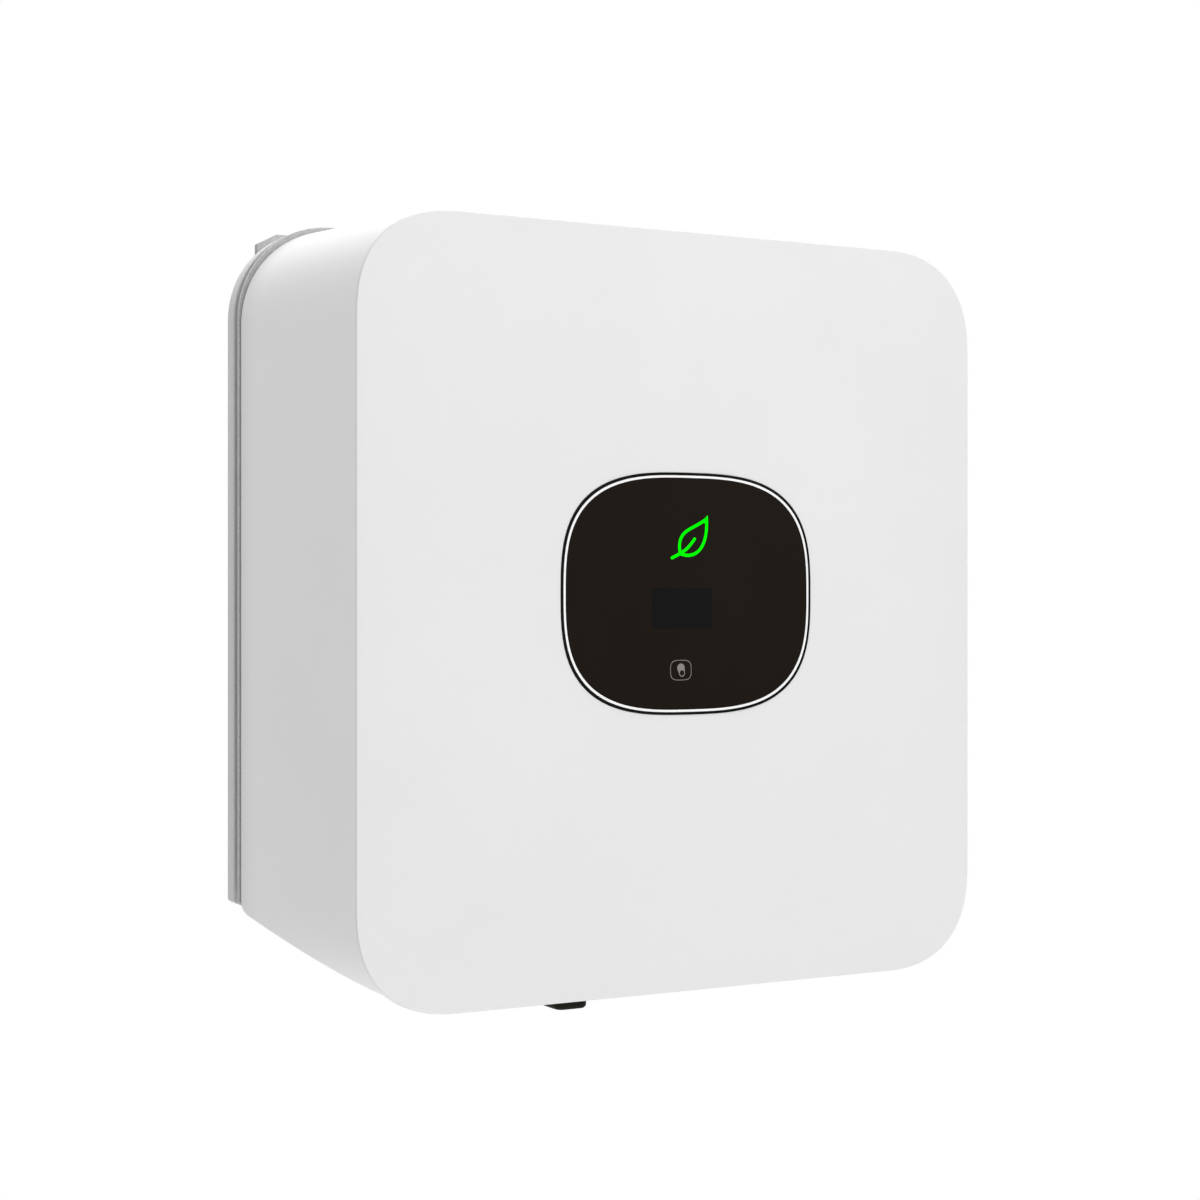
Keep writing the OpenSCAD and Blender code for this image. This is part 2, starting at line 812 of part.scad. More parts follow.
module connector_plate() color("gainsboro")
    difference() {
        union() {
            translate([0, 0, z_plate]) linear_extrude(plate_t)
                polygon([
                    [-plate_half_front, plate_front],
                    [plate_half_front, plate_front],
                    [plate_half_rear, y_cover],
                    [-plate_half_rear, y_cover]
                ]);
            block(0, y_seal - plate_t, plate_flange_z, plate_flange_w, plate_t, plate_flange_h);
            block(0, y_cover - plate_t, z_plate, plate_flange_w, plate_t,
                plate_flange_z + plate_flange_h - z_plate);
        }
        for (x = plate_screw_xs) bar_y(x, y_seal + 1, plate_screw_z, plate_screw_r + fit, far);
        rod_up(switch_x, y_row, z_plate - 1, shaft_r + fit, plate_t + 2);
        for (x = pv_xs) rod_up(x, y_row, z_plate - 1, pv_stem_r + fit, plate_t + 2);
        rod_up(port_x, y_row, z_plate - 1, port_r + fit, plate_t + 2);
        rod_up(breather_x, y_row, z_plate - 1, breather_r + fit, plate_t + 2);
        rod_up(grid_x, y_row, z_plate - 1, grid_stem_r + fit, plate_t + 2);
        at_grid_screws() rod_up(0, 0, z_plate - 1, grid_screw_r + fit, plate_t + 2);
        rod_up(earth_x, y_row, z_plate - 1, earth_r + fit, plate_t + 2);
    }

module plate_screws() color("silver")
    for (x = plate_screw_xs) screw_front(x, y_cover - plate_t, plate_screw_z, plate_screw_r,
        plate_t + gasket_t + frame_t);

// Solar switch: body over the plate, collar and knob under it
module switch_body() color("dimgray")
    difference() {
        block(switch_x, y_row - switch_d / 2, z_deck, switch_w, switch_d, switch_h);
        rod_up(switch_x, y_row, z_deck - 1, shaft_r + fit, 19);
    }

module switch_collar() color([0.15, 0.15, 0.15])
    difference() {
        rod_up(switch_x, y_row, z_plate - collar_h, switch_r, collar_h);
        rod_up(switch_x, y_row, z_plate - collar_h - 1, shaft_r + fit, collar_h + 2);
    }

module switch_shaft() color("silver")
    rod_up(switch_x, y_row, knob_top - knob_h * 0.6, shaft_r, z_deck + 17 - knob_top + knob_h * 0.6);

module switch_knob() color([0.12, 0.12, 0.12])
    difference() {
        union() {
            rod_up(switch_x, y_row, knob_top - knob_disc_h, switch_r - 0.5, knob_disc_h);
            translate([switch_x, y_row, knob_top - knob_h])
                linear_extrude(knob_h - knob_disc_h + 1) rounded(handle_w, 2 * switch_r - 2, handle_r);
        }
        rod_up(switch_x, y_row, knob_top - knob_h * 0.6 - 0.1, shaft_r + fit / 2, knob_h);
    }

// Solar sockets
module pv_socket(x) {
    difference() {
        union() {
            rod_up(x, y_row, z_plate - pv_len, pv_bore_r + pv_wall, pv_len);
            hex_up(x, y_row, z_plate - pv_flange_h, pv_flange_r, pv_flange_h);
            rod_up(x, y_row, z_plate - skin, pv_stem_r, stem_h);
        }
        rod_up(x, y_row, z_plate - pv_len - 1, pv_bore_r, pv_depth + 1);
        rod_up(x, y_row, z_plate - pv_len, pv_well_r, pv_well_top - z_plate + pv_len);
        rod_up(x, y_row, pv_pin_foot, pv_pin_r + fit, far);
    }
}

module pv_plus_socket() color([0.13, 0.13, 0.13]) pv_socket(pv_xs[0]);

module pv_minus_socket() color([0.2, 0.2, 0.2]) pv_socket(pv_xs[1]);

module pv_nuts() color([0.25, 0.25, 0.25])
    for (x = pv_xs)
        difference() {
            hex_up(x, y_row, z_deck, nut_r, nut_h);
            rod_up(x, y_row, z_deck - 1, pv_stem_r + fit, nut_h + 2);
        }

module pv_contacts() color("gold")
    for (x = pv_xs) rod_up(x, y_row, pv_pin_foot, pv_pin_r, contact_top - pv_pin_foot);

// Data port and its cap
module data_port() color([0.15, 0.15, 0.15])
    difference() {
        union() {
            rod_up(port_x, y_row, z_plate - port_len, port_r, port_len + plate_t + 6);
            rod_up(port_x, y_row, z_plate - port_collar_h, port_collar_r, port_collar_h);
            hex_up(port_x, y_row, z_deck, port_r + 3, 4);
        }
        rod_up(port_x, y_row, z_plate - port_len - 1, port_bore_r, port_len - 2);
    }

module port_cap() color([0.14, 0.14, 0.12])
    difference() {
        union() {
            rod_up(port_x, y_row, cap_tip + cap_r * 0.35, cap_r, cap_len - cap_r * 0.35);
            intersection() {
                rod_up(port_x, y_row, cap_tip, cap_r, cap_r);
                translate([port_x, y_row, cap_tip + cap_r * 1.3]) sphere(cap_r * 1.3);
            }
        }
        rod_up(port_x, y_row, z_plate - port_len - 1, port_r + fit, port_len + 2);
    }

module breather() color([0.2, 0.2, 0.2]) {
    hex_up(breather_x, y_row, z_plate - breather_head_h, breather_head_r, breather_head_h);
    rod_up(breather_x, y_row, z_plate - skin, breather_r, plate_t + breather_head_h);
}

// Grid socket with three contacts
module at_grid_screws() {
    for (sx = [-1, 1], sy = [-1, 1])
        translate([grid_x + sx * grid_screw_at, y_row + sy * grid_screw_at, 0]) children();
}

module at_grid_pins() {
    for (a = grid_pin_angles)
        translate([grid_x + grid_pin_ring * cos(a), y_row + grid_pin_ring * sin(a), 0]) children();
}

module grid_socket() color([0.15, 0.15, 0.15])
    difference() {
        union() {
            translate([grid_x, y_row, z_plate - grid_flange_h]) linear_extrude(grid_flange_h)
                rounded(grid_flange, grid_flange, 4);
            rod_up(grid_x, y_row, z_plate - grid_len, grid_r, grid_len);
            rod_up(grid_x, y_row, z_plate - skin, grid_stem_r, plate_t + grid_stem_h);
        }
        rod_up(grid_x, y_row, z_plate - grid_len - 1, grid_bore_r, grid_depth + 1);
        rod_up(grid_x, y_row, z_plate - grid_len, grid_well_r, grid_well_top - z_plate + grid_len);
        at_grid_pins() rod_up(0, 0, grid_pin_foot, grid_pin_r + fit, far);
        at_grid_screws() rod_up(0, 0, z_plate - grid_flange_h - 1, grid_screw_r + fit, grid_flange_h + 2);
    }

module grid_contacts() color("gold")
    at_grid_pins() rod_up(0, 0, grid_pin_foot, grid_pin_r, grid_contact_top - grid_pin_foot);

module grid_screws() color("silver")
    at_grid_screws() {
        rod_up(0, 0, z_plate - grid_flange_h - 2, grid_screw_r * 1.9, 2);
        rod_up(0, 0, z_plate - grid_flange_h - skin, grid_screw_r, grid_flange_h + plate_t + grid_screw_hold);
    }

module earth_screw() color("silver") {
    rod_up(earth_x, y_row, z_plate - washer_t - earth_head_h, earth_r * 1.9, earth_head_h);
    rod_up(earth_x, y_row, z_plate - washer_t - skin, earth_r, plate_t + 9);
}

module earth_washer() color("gold")
    difference() {
        rod_up(earth_x, y_row, z_plate - washer_t, earth_r * 2.4, washer_t);
        rod_up(earth_x, y_row, z_plate - washer_t - 1, earth_r + fit, washer_t + 2);
    }

// Power board and its parts
module power_board() color("darkgreen")
    difference() {
        slab(y_board, board_t) translate([0, board_z]) rounded(board_w, board_h, 3);
        for (p = post_spots) bar_y(p[0], y_board + 1, p[1], board_screw_r + fit, board_t + 2);
    }

module board_posts() color("silver")
    for (p = post_spots)
        difference() {
            union() {
                bar_y(p[0], y_sink, p[1], post_r, post_len);
                bar_y(p[0], y_sink + stud_len, p[1], stud_r, stud_len + skin);
            }
            bar_y(p[0], y_board + board_screw_len + 2, p[1], board_screw_r + fit, board_screw_len + 3);
        }

module board_screws() color("silver")
    for (p = post_spots) screw_front(p[0], y_parts, p[1], board_screw_r, board_t + board_screw_len);

module on_board(at) {
    translate([at[0], y_parts, board_z + at[1] * layout]) children();
}

module board_block(at, size) {
    on_board(at) block(0, -size[1], 0, size[0] * part_scale, size[1], size[2] * part_scale);
}

module bus_capacitors() color("slategray")
    for (k = [0:3])
        on_board(capacitor_at + [k * (2 * cap_body_r + capacitor_gap), 0])
            bar_y(0, 0, 0, cap_body_r, cap_body_h);

// A wound ring lying flat on the board, its size given as outer radius, inner radius and height
module wound_ring(at, size) {
    on_board(at)
        difference() {
            bar_y(0, 0, 0, size[0] * part_scale, size[2]);
            bar_y(0, 1, 0, size[1] * part_scale, size[2] + 2);
        }
}

module boost_choke() color("goldenrod") wound_ring(boost_at, boost_size);

module filter_chokes() color("goldenrod") for (at = filter_at) wound_ring(at, filter_size);

module noise_choke() color("darkgoldenrod") wound_ring(noise_at, noise_size);

module film_capacitors() color("khaki")
    for (k = [0:2]) board_block(film_at + [k * film_pitch, 0], film_size);

module grid_relays() color("black")
    for (k = [0:1]) board_block(relay_at + [k * relay_pitch, 0], relay_size);

module supply_transformer() color("orange") board_block(transformer_at, transformer_size);

module current_sensor() color("navy") board_block(sensor_at, sensor_size);

module control_card() color("green") {
    on_board([card_x, card_foot]) block(0, -card_d, 0, board_t, card_d, card_h * part_scale);
    block(card_x - (board_t + chip_t) / 2 + skin, y_parts - card_d + chip_t, board_z - chip_t, chip_t + skin,
        chip_s, chip_s);
}

device_xs = [for (i = [0:device_count - 1]) (i - (device_count - 1) / 2) * device_pitch];
clamp_xs = [-device_pitch, 0, device_pitch] * (device_count / 3);

module thermal_pads() color("lightblue")
    for (x = device_xs) block(x, y_sink - pad_t, device_z - device_h + 4, device_w - 3, pad_t, device_h);

module transistors() color([0.15, 0.15, 0.15])
    for (x = device_xs) {
        block(x, y_sink - pad_t - device_t, device_z - device_h + 4, device_w - 4, device_t, device_h);
        for (k = [-1, 0, 1])
            block(x + k * leg_pitch, y_board, leg_z, leg_w, post_len - pad_t - device_t / 2, leg_w);
        block(x, y_sink - pad_t - (device_t + leg_w) / 2, leg_z, 2 * leg_pitch + leg_w, leg_w, 4);
    }

module clamp_bar() color("silver")
    difference() {
        block(0, y_clamp, device_z - 8, (device_count + 0.4) * device_pitch, bar_t, bar_h);
        for (x = clamp_xs) bar_y(x, y_sink, device_z, clamp_screw_r + fit, far);
    }

module clamp_screws() color("silver")
    for (x = clamp_xs) screw_front(x, y_clamp, device_z, clamp_screw_r, y_sink - y_clamp + stud_len);

terminal_z = board_foot + 4;
terminal_h = 10;
terminal_d = 14;
dc_terminal_x = -60;
dc_terminal_w = 24;
ac_terminal_x = 58;
ac_terminal_w = 26;

module terminal_block(x, w) {
    block(x, y_parts - terminal_d, terminal_z, w, terminal_d, terminal_h);
}

module dc_terminals() color("green") terminal_block(dc_terminal_x, dc_terminal_w);

module ac_terminals() color("green") terminal_block(ac_terminal_x, ac_terminal_w);

lead_r = 1.8;
ac_lead_r = 1.4;
grid_contact_top = z_deck + grid_stem_h + grid_pin_rise;
contact_top = z_plate + stem_h;
switch_side = switch_x - switch_w / 2;
switch_lead_z = terminal_z + terminal_h / 2;

// Leads from the solar sockets to the switch, and from the switch to the board
module dc_leads() color("red") {
    for (k = [0, 1])
        tube(lead([pv_xs[k], y_row, contact_top], [0, 0, 10 - 7 * k],
            [switch_side, y_row, contact_top + 14 - 9 * k], [20 - 14 * k, 0, 0], 10), lead_r);
    for (k = [0, 1])
        tube(lead([switch_side, y_row - 5.5 - 5.5 * k, switch_lead_z], [-9 - 6 * k, 0, 0],
            [dc_terminal_x + 5 - 10 * k, y_parts - terminal_d, switch_lead_z],
            [0, 6 + 4 * k, 0], 12), lead_r);
}

module ac_leads() color("sienna")
    for (k = [0:2])
        let (a = grid_pin_angles[k])
            tube(lead([grid_x + grid_pin_ring * cos(a), y_row + grid_pin_ring * sin(a), grid_contact_top],
                [0, 0, 6], [ac_terminal_x + (k - 1) * 7, y_parts - terminal_d / 2, terminal_z],
                [0, 0, 4], 8), ac_lead_r);

// Flat cable from the display board to the power board
module ribbon() color("lightgray") {
    ribbon_x = 8;
    ribbon_w = 14;
    ribbon_t = 0.8;
    ribbon_z = board_z - 13;
    sag = 6;
    y_from = y_display_board + board_t;
    count = 16;
    upper = [
        for (i = [0:count])
            [y_from + (y_parts - y_from) * i / count, ribbon_z - sag * sin(180 * i / count)]
    ];
    lower = [for (i = [count:-1:0]) upper[i] - [0, ribbon_t]];
    translate([ribbon_x, 0, 0]) along_x(ribbon_w) polygon(concat(upper, lower));
}

front_cover();
display_bezel();
display_ring();
display_lens();
status_leaf();
display_screen();
touch_key();
display_board();
screen_module();
display_screws();
cover_gasket();
rear_frame();
groove_seal();
heat_sink();
frame_screws();
cover_screws();
hanger_rails();
rail_screws();
wall_bracket();
connector_plate();
plate_screws();
switch_body();
switch_collar();
switch_shaft();
switch_knob();
pv_plus_socket();
pv_minus_socket();
pv_nuts();
pv_contacts();
data_port();
port_cap();
breather();
grid_socket();
grid_contacts();
grid_screws();
earth_screw();
earth_washer();
power_board();
board_posts();
board_screws();
bus_capacitors();
boost_choke();
filter_chokes();
noise_choke();
film_capacitors();
grid_relays();
supply_transformer();
current_sensor();
control_card();
transistors();
thermal_pads();
clamp_bar();
clamp_screws();
dc_terminals();
ac_terminals();
dc_leads();
ac_leads();
ribbon();
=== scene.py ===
import json
import math

import bmesh
import bpy
from mathutils import Matrix, Vector

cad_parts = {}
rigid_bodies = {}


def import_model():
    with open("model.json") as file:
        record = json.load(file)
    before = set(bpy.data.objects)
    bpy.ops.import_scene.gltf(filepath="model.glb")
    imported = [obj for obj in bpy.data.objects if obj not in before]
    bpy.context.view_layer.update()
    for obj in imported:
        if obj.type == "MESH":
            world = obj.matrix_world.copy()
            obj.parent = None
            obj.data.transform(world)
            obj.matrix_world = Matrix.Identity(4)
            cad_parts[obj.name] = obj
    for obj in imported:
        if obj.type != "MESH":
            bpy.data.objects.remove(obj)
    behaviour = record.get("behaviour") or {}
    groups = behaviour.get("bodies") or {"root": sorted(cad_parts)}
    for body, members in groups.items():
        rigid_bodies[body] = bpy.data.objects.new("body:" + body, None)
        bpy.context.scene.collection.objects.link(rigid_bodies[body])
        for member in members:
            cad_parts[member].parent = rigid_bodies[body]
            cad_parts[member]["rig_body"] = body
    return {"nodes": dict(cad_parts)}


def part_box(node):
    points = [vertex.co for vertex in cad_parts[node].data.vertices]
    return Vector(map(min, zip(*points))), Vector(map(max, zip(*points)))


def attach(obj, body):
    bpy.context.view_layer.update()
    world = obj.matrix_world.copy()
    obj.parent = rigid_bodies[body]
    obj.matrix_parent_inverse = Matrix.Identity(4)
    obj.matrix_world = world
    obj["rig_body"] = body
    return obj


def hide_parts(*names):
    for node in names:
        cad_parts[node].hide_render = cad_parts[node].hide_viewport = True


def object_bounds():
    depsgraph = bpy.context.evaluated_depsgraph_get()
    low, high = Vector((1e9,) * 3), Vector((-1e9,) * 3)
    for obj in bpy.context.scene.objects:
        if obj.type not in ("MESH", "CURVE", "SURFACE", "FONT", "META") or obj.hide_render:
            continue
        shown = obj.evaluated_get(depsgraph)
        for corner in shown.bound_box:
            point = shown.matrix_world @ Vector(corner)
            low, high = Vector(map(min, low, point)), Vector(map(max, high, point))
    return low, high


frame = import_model()
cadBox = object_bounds()  # box of the solids, before anything is dressed
cadNodes = frame["nodes"]
scene = bpy.context.scene
scene.view_settings.view_transform = "Standard"
mm = 0.001
print("frame loaded:", len(cadNodes), "nodes")

# Camera, at the photograph's place
cameraSetup = dict(
    place=(-0.37057, -0.76926, 0.00512),
    turn=-28.0425,  # degrees about the vertical
    lens=64.747,
    sensor=36,
    shiftY=-0.0031,
    clip=(0.01, 50),
)


def addCamera():
    data = bpy.data.cameras.new("camera")
    data.lens = cameraSetup["lens"]
    data.sensor_width = cameraSetup["sensor"]
    data.shift_y = cameraSetup["shiftY"]
    data.clip_start, data.clip_end = cameraSetup["clip"]
    camera = bpy.data.objects.new("camera", data)
    camera.location = cameraSetup["place"]
    camera.rotation_euler = (math.radians(90), 0, math.radians(cameraSetup["turn"]))
    scene.collection.objects.link(camera)
    scene.camera = camera


addCamera()


# Shader helpers, each giving the output that the next one takes
def mathNode(tree, operation, *values):
    node = tree.nodes.new("ShaderNodeMath")
    node.operation = operation
    for socket, value in zip(node.inputs, values):
        if isinstance(value, (int, float)):
            socket.default_value = value
        else:
            tree.links.new(value, socket)
    return node.outputs[0]


def mapRange(tree, value, low=0, high=1, start=0, end=1):
    node = tree.nodes.new("ShaderNodeMapRange")
    ends = {"From Min": low, "From Max": high, "To Min": start, "To Max": end}
    for socketName, number in ends.items():
        node.inputs[socketName].default_value = number
    tree.links.new(value, node.inputs["Value"])
    return node.outputs["Result"]


def mixShaders(tree, share, first, second):
    node = tree.nodes.new("ShaderNodeMixShader")
    for socket, value in zip(node.inputs, (share, first, second)):
        tree.links.new(value, socket)
    return node.outputs[0]


def seenDirectly(tree):
    path = tree.nodes.new("ShaderNodeLightPath")
    first = mathNode(tree, "MAXIMUM", path.outputs["Is Camera Ray"], path.outputs["Is Glossy Ray"])
    return mathNode(tree, "MAXIMUM", first, path.outputs["Is Transmission Ray"])


# Soft studio: a pale world and a floor that is white to the camera and keeps the shadow
studio = dict(
    worldLight=0.5,
    floorDrop=0.75,  # metres below the lowest point: the inverter hangs on a wall
    floorSize=16.0,
    floorColour=(0.9, 0.9, 0.9),
    floorLift=0.3,  # makes the lit floor white to the camera
    floorNear=1.1,  # the shadow shows inside this distance
    floorFar=2.2,  # and the floor is plain white past this one
)
# A big panel overhead, one in front and weak ones behind and below
panels = dict(
    overhead=dict(place=(-0.18, -0.1, 1.45), aim=(0, -0.07, 0), size=(1.7, 1.8), watts=15.9),
    front=dict(place=(0.8, -2.0, 0.5), aim=(0, -0.1, 0), size=(1.6, 1.6), watts=15.8),
    back=dict(place=(0.3, 1.9, 0.6), aim=(0, 0, 0), size=(1.6, 1.6), watts=9),
    low=dict(place=(-0.25, -0.25, -0.8), aim=(-0.1, -0.1, -0.1), size=(0.9, 0.9), watts=2.2),
)


def whiteSky(tree, strength):
    node = tree.nodes.new("ShaderNodeBackground")
    node.inputs["Color"].default_value = (1, 1, 1, 1)
    node.inputs["Strength"].default_value = strength
    return node.outputs[0]


def addWorld():
    world = bpy.data.worlds.new("studio")
    scene.world = world
    world.use_nodes = True
    tree = world.node_tree
    tree.nodes.clear()
    light = whiteSky(tree, studio["worldLight"])
    seen = whiteSky(tree, 1)
    output = tree.nodes.new("ShaderNodeOutputWorld")
    sky = mixShaders(tree, seenDirectly(tree), light, seen)
    tree.links.new(sky, output.inputs["Surface"])


def floorFinish():
    material = bpy.data.materials.new("floorPale")
    material.use_nodes = True
    tree = material.node_tree
    tree.nodes.clear()
    seen = seenDirectly(tree)
    matt = tree.nodes.new("ShaderNodeBsdfDiffuse")
    matt.inputs["Color"].default_value = (*studio["floorColour"], 1)
    glow = tree.nodes.new("ShaderNodeEmission")
    lift = mathNode(tree, "MULTIPLY", seen, studio["floorLift"])
    tree.links.new(lift, glow.inputs["Strength"])
    near = tree.nodes.new("ShaderNodeAddShader")
    tree.links.new(matt.outputs[0], near.inputs[0])
    tree.links.new(glow.outputs[0], near.inputs[1])
    place = tree.nodes.new("ShaderNodeNewGeometry")
    reach = tree.nodes.new("ShaderNodeVectorMath")
    reach.operation = "LENGTH"
    tree.links.new(place.outputs["Position"], reach.inputs[0])
    fade = mapRange(tree, reach.outputs["Value"], studio["floorNear"], studio["floorFar"])
    white = tree.nodes.new("ShaderNodeEmission")
    seenFade = mathNode(tree, "MULTIPLY", fade, seen)
    far = mixShaders(tree, seenFade, near.outputs[0], white.outputs[0])
    output = tree.nodes.new("ShaderNodeOutputMaterial")
    tree.links.new(far, output.inputs["Surface"])
    return material


def addFloor():
    half = studio["floorSize"] / 2
    height = cadBox[0].z - studio["floorDrop"]
    square = ((-half, -half), (half, -half), (half, half), (-half, half))
    corners = [(x, y, height) for x, y in square]
    mesh = bpy.data.meshes.new("floor")
    mesh.from_pydata(corners, [], [(0, 1, 2, 3)])
    mesh.materials.append(floorFinish())
    floor = bpy.data.objects.new("floor", mesh)
    scene.collection.objects.link(floor)


def addPanel(name, setup):
    data = bpy.data.lights.new(name, "AREA")
    data.shape = "RECTANGLE"
    data.size, data.size_y = setup["size"]
    data.energy = setup["watts"]
    light = bpy.data.objects.new(name, data)
    light.location = setup["place"]
    aim = Vector(setup["aim"]) - light.location
    light.rotation_euler = aim.to_track_quat("-Z", "Y").to_euler()
    light.visible_camera = False
    scene.collection.objects.link(light)


addWorld()
addFloor()
for panelName, panelSetup in panels.items():
    addPanel(panelName, panelSetup)
print("studio ready")

# Finishes: colour and how much it varies, gloss, grain (per metre) and how strong its relief is
finishes = dict(
    coverWhite=dict(colour=(0.80, 0.80, 0.80), vary=0.012, rough=0.42, roughVary=0.05,
                    grain=2600, bump=0.05),
    lensBlack=dict(colour=(0.0093, 0.0058, 0.0033), vary=0.06, rough=0.3, roughVary=0.06,
                   grain=60, shine=0.03),
    ringBlack=dict(colour=(0.006, 0.0053, 0.0045), vary=0.08, rough=0.35, roughVary=0.05,
                   grain=900, bump=0.02, shine=0.03),
    ringWhite=dict(colour=(0.95, 0.95, 0.95), vary=0.01, rough=0.3, roughVary=0.05,
                   grain=900, bump=0.01),
    leafGlow=dict(colour=(0.0, 0.4, 0.0), vary=0.05, rough=0.4, roughVary=0.05,
                  grain=900, shine=0),
    screenDark=dict(colour=(0.0042, 0.0042, 0.0042), vary=0.06, rough=0.22, roughVary=0.05,
                    grain=90, shine=0.025),
    markGrey=dict(colour=(0.205, 0.192, 0.18), vary=0.05, rough=0.5, roughVary=0.05,
                  grain=900, bump=0.02),
    markWhite=dict(colour=(0.8, 0.8, 0.79), vary=0.03, rough=0.5, roughVary=0.05,
                   grain=900, bump=0.02),
    sealDark=dict(colour=(0.165, 0.165, 0.166), vary=0.12, rough=0.75, roughVary=0.08,
                  grain=1400, bump=0.12),
    frameGrey=dict(colour=(0.68, 0.68, 0.68), vary=0.05, rough=0.55, roughVary=0.08,
                   grain=1500, bump=0.1, speckle=0.22),
    sinkGrey=dict(colour=(0.56, 0.56, 0.56), vary=0.05, rough=0.48, roughVary=0.1,
                  grain=1500, bump=0.12, speckle=0.05),
    plateGrey=dict(colour=(0.60, 0.60, 0.60), vary=0.05, rough=0.5, roughVary=0.08,
                   grain=2000, bump=0.08, speckle=0.04),
    zincSteel=dict(colour=(0.3, 0.3, 0.304), vary=0.05, rough=0.42, roughVary=0.1,
                   grain=900, bump=0.05, metal=1, cells=230),
    screwSteel=dict(colour=(0.6, 0.6, 0.61), vary=0.08, rough=0.3, roughVary=0.1,
                    grain=900, bump=0.04, metal=1),
    mouldedBlack=dict(colour=(0.016, 0.016, 0.0155), vary=0.15, rough=0.5, roughVary=0.08,
                      grain=2400, bump=0.1, shine=0.35),
    knobBlack=dict(colour=(0.0128, 0.0134, 0.0092), vary=0.1, rough=0.5, roughVary=0.08,
                   grain=2400, bump=0.1, shine=0.06),
    capRubber=dict(colour=(0.014, 0.0145, 0.012), vary=0.15, rough=0.68, roughVary=0.06,
                   grain=1900, bump=0.12, shine=0.3),
    contactBrass=dict(colour=(0.82, 0.63, 0.3), vary=0.06, rough=0.28, roughVary=0.08,
                      grain=700, bump=0.03, metal=1),
    postNickel=dict(colour=(0.66, 0.63, 0.55), vary=0.06, rough=0.3, roughVary=0.08,
                    grain=700, bump=0.03, metal=1),
    boardGreen=dict(colour=(0.015, 0.14, 0.05), vary=0.2, rough=0.38, roughVary=0.08,
                    grain=420, bump=0.06),
    canSleeve=dict(colour=(0.02, 0.025, 0.04), vary=0.1, rough=0.35, roughVary=0.08,
                   grain=300, bump=0.04),
    copperWire=dict(colour=(0.72, 0.3, 0.12), vary=0.12, rough=0.32, roughVary=0.1,
                    grain=600, bump=0.15, metal=1),
    filmYellow=dict(colour=(0.72, 0.5, 0.07), vary=0.06, rough=0.42, roughVary=0.06,
                    grain=700, bump=0.04),
    tapeAmber=dict(colour=(0.62, 0.36, 0.06), vary=0.1, rough=0.35, roughVary=0.1,
                   grain=240, bump=0.08),
    terminalGreen=dict(colour=(0.03, 0.28, 0.1), vary=0.08, rough=0.45, roughVary=0.06,
                       grain=900, bump=0.05),
    padBlue=dict(colour=(0.42, 0.58, 0.7), vary=0.06, rough=0.8, roughVary=0.05,
                 grain=1200, bump=0.08),
    jacketRed=dict(colour=(0.34, 0.016, 0.014), vary=0.06, rough=0.45, roughVary=0.06,
                   grain=900, bump=0.04),
    jacketBrown=dict(colour=(0.16, 0.055, 0.025), vary=0.08, rough=0.45, roughVary=0.06,
                     grain=900, bump=0.04),
    ribbonGrey=dict(colour=(0.5, 0.5, 0.51), vary=0.05, rough=0.5, roughVary=0.05,
                    grain=900, bump=0.04),
)
# What all finishes share: broad clouds of colour, a fine grain and the depth of its relief
surface = dict(cloudScale=14, cloudDetail=4, cloudRange=(0.3, 0.7), grainDetail=3,
               speckleRange=(0.35, 0.65), relief=0.0004)


def objectPlace(tree):
    return tree.nodes.new("ShaderNodeTexCoord").outputs["Object"]


def noiseAt(tree, place, scale, detail):
    noise = tree.nodes.new("ShaderNodeTexNoise")
    noise.inputs["Scale"].default_value = scale
    noise.inputs["Detail"].default_value = detail
    tree.links.new(place, noise.inputs["Vector"])
    return noise.outputs["Fac"]


def crystals(tree, place, scale):
    cells = tree.nodes.new("ShaderNodeTexVoronoi")
    cells.inputs["Scale"].default_value = scale
    tree.links.new(place, cells.inputs["Vector"])
    hues = tree.nodes.new("ShaderNodeSeparateColor")
    tree.links.new(cells.outputs["Color"], hues.inputs["Color"])
    return hues.outputs["Red"]


def twoTones(tree, value, ends, dark, light):
    ramp = tree.nodes.new("ShaderNodeValToRGB")
    for stop, place, colour in zip(ramp.color_ramp.elements, ends, (dark, light)):
        stop.position = place
        stop.color = (*colour, 1)
    tree.links.new(value, ramp.inputs["Fac"])
    return ramp.outputs["Color"]


def multiply(tree, first, second):
    mix = tree.nodes.new("ShaderNodeMix")
    mix.data_type = "RGBA"
    mix.blend_type = "MULTIPLY"
    mix.inputs["Factor"].default_value = 1
    tree.links.new(first, mix.inputs["A"])
    tree.links.new(second, mix.inputs["B"])
    return mix.outputs["Result"]


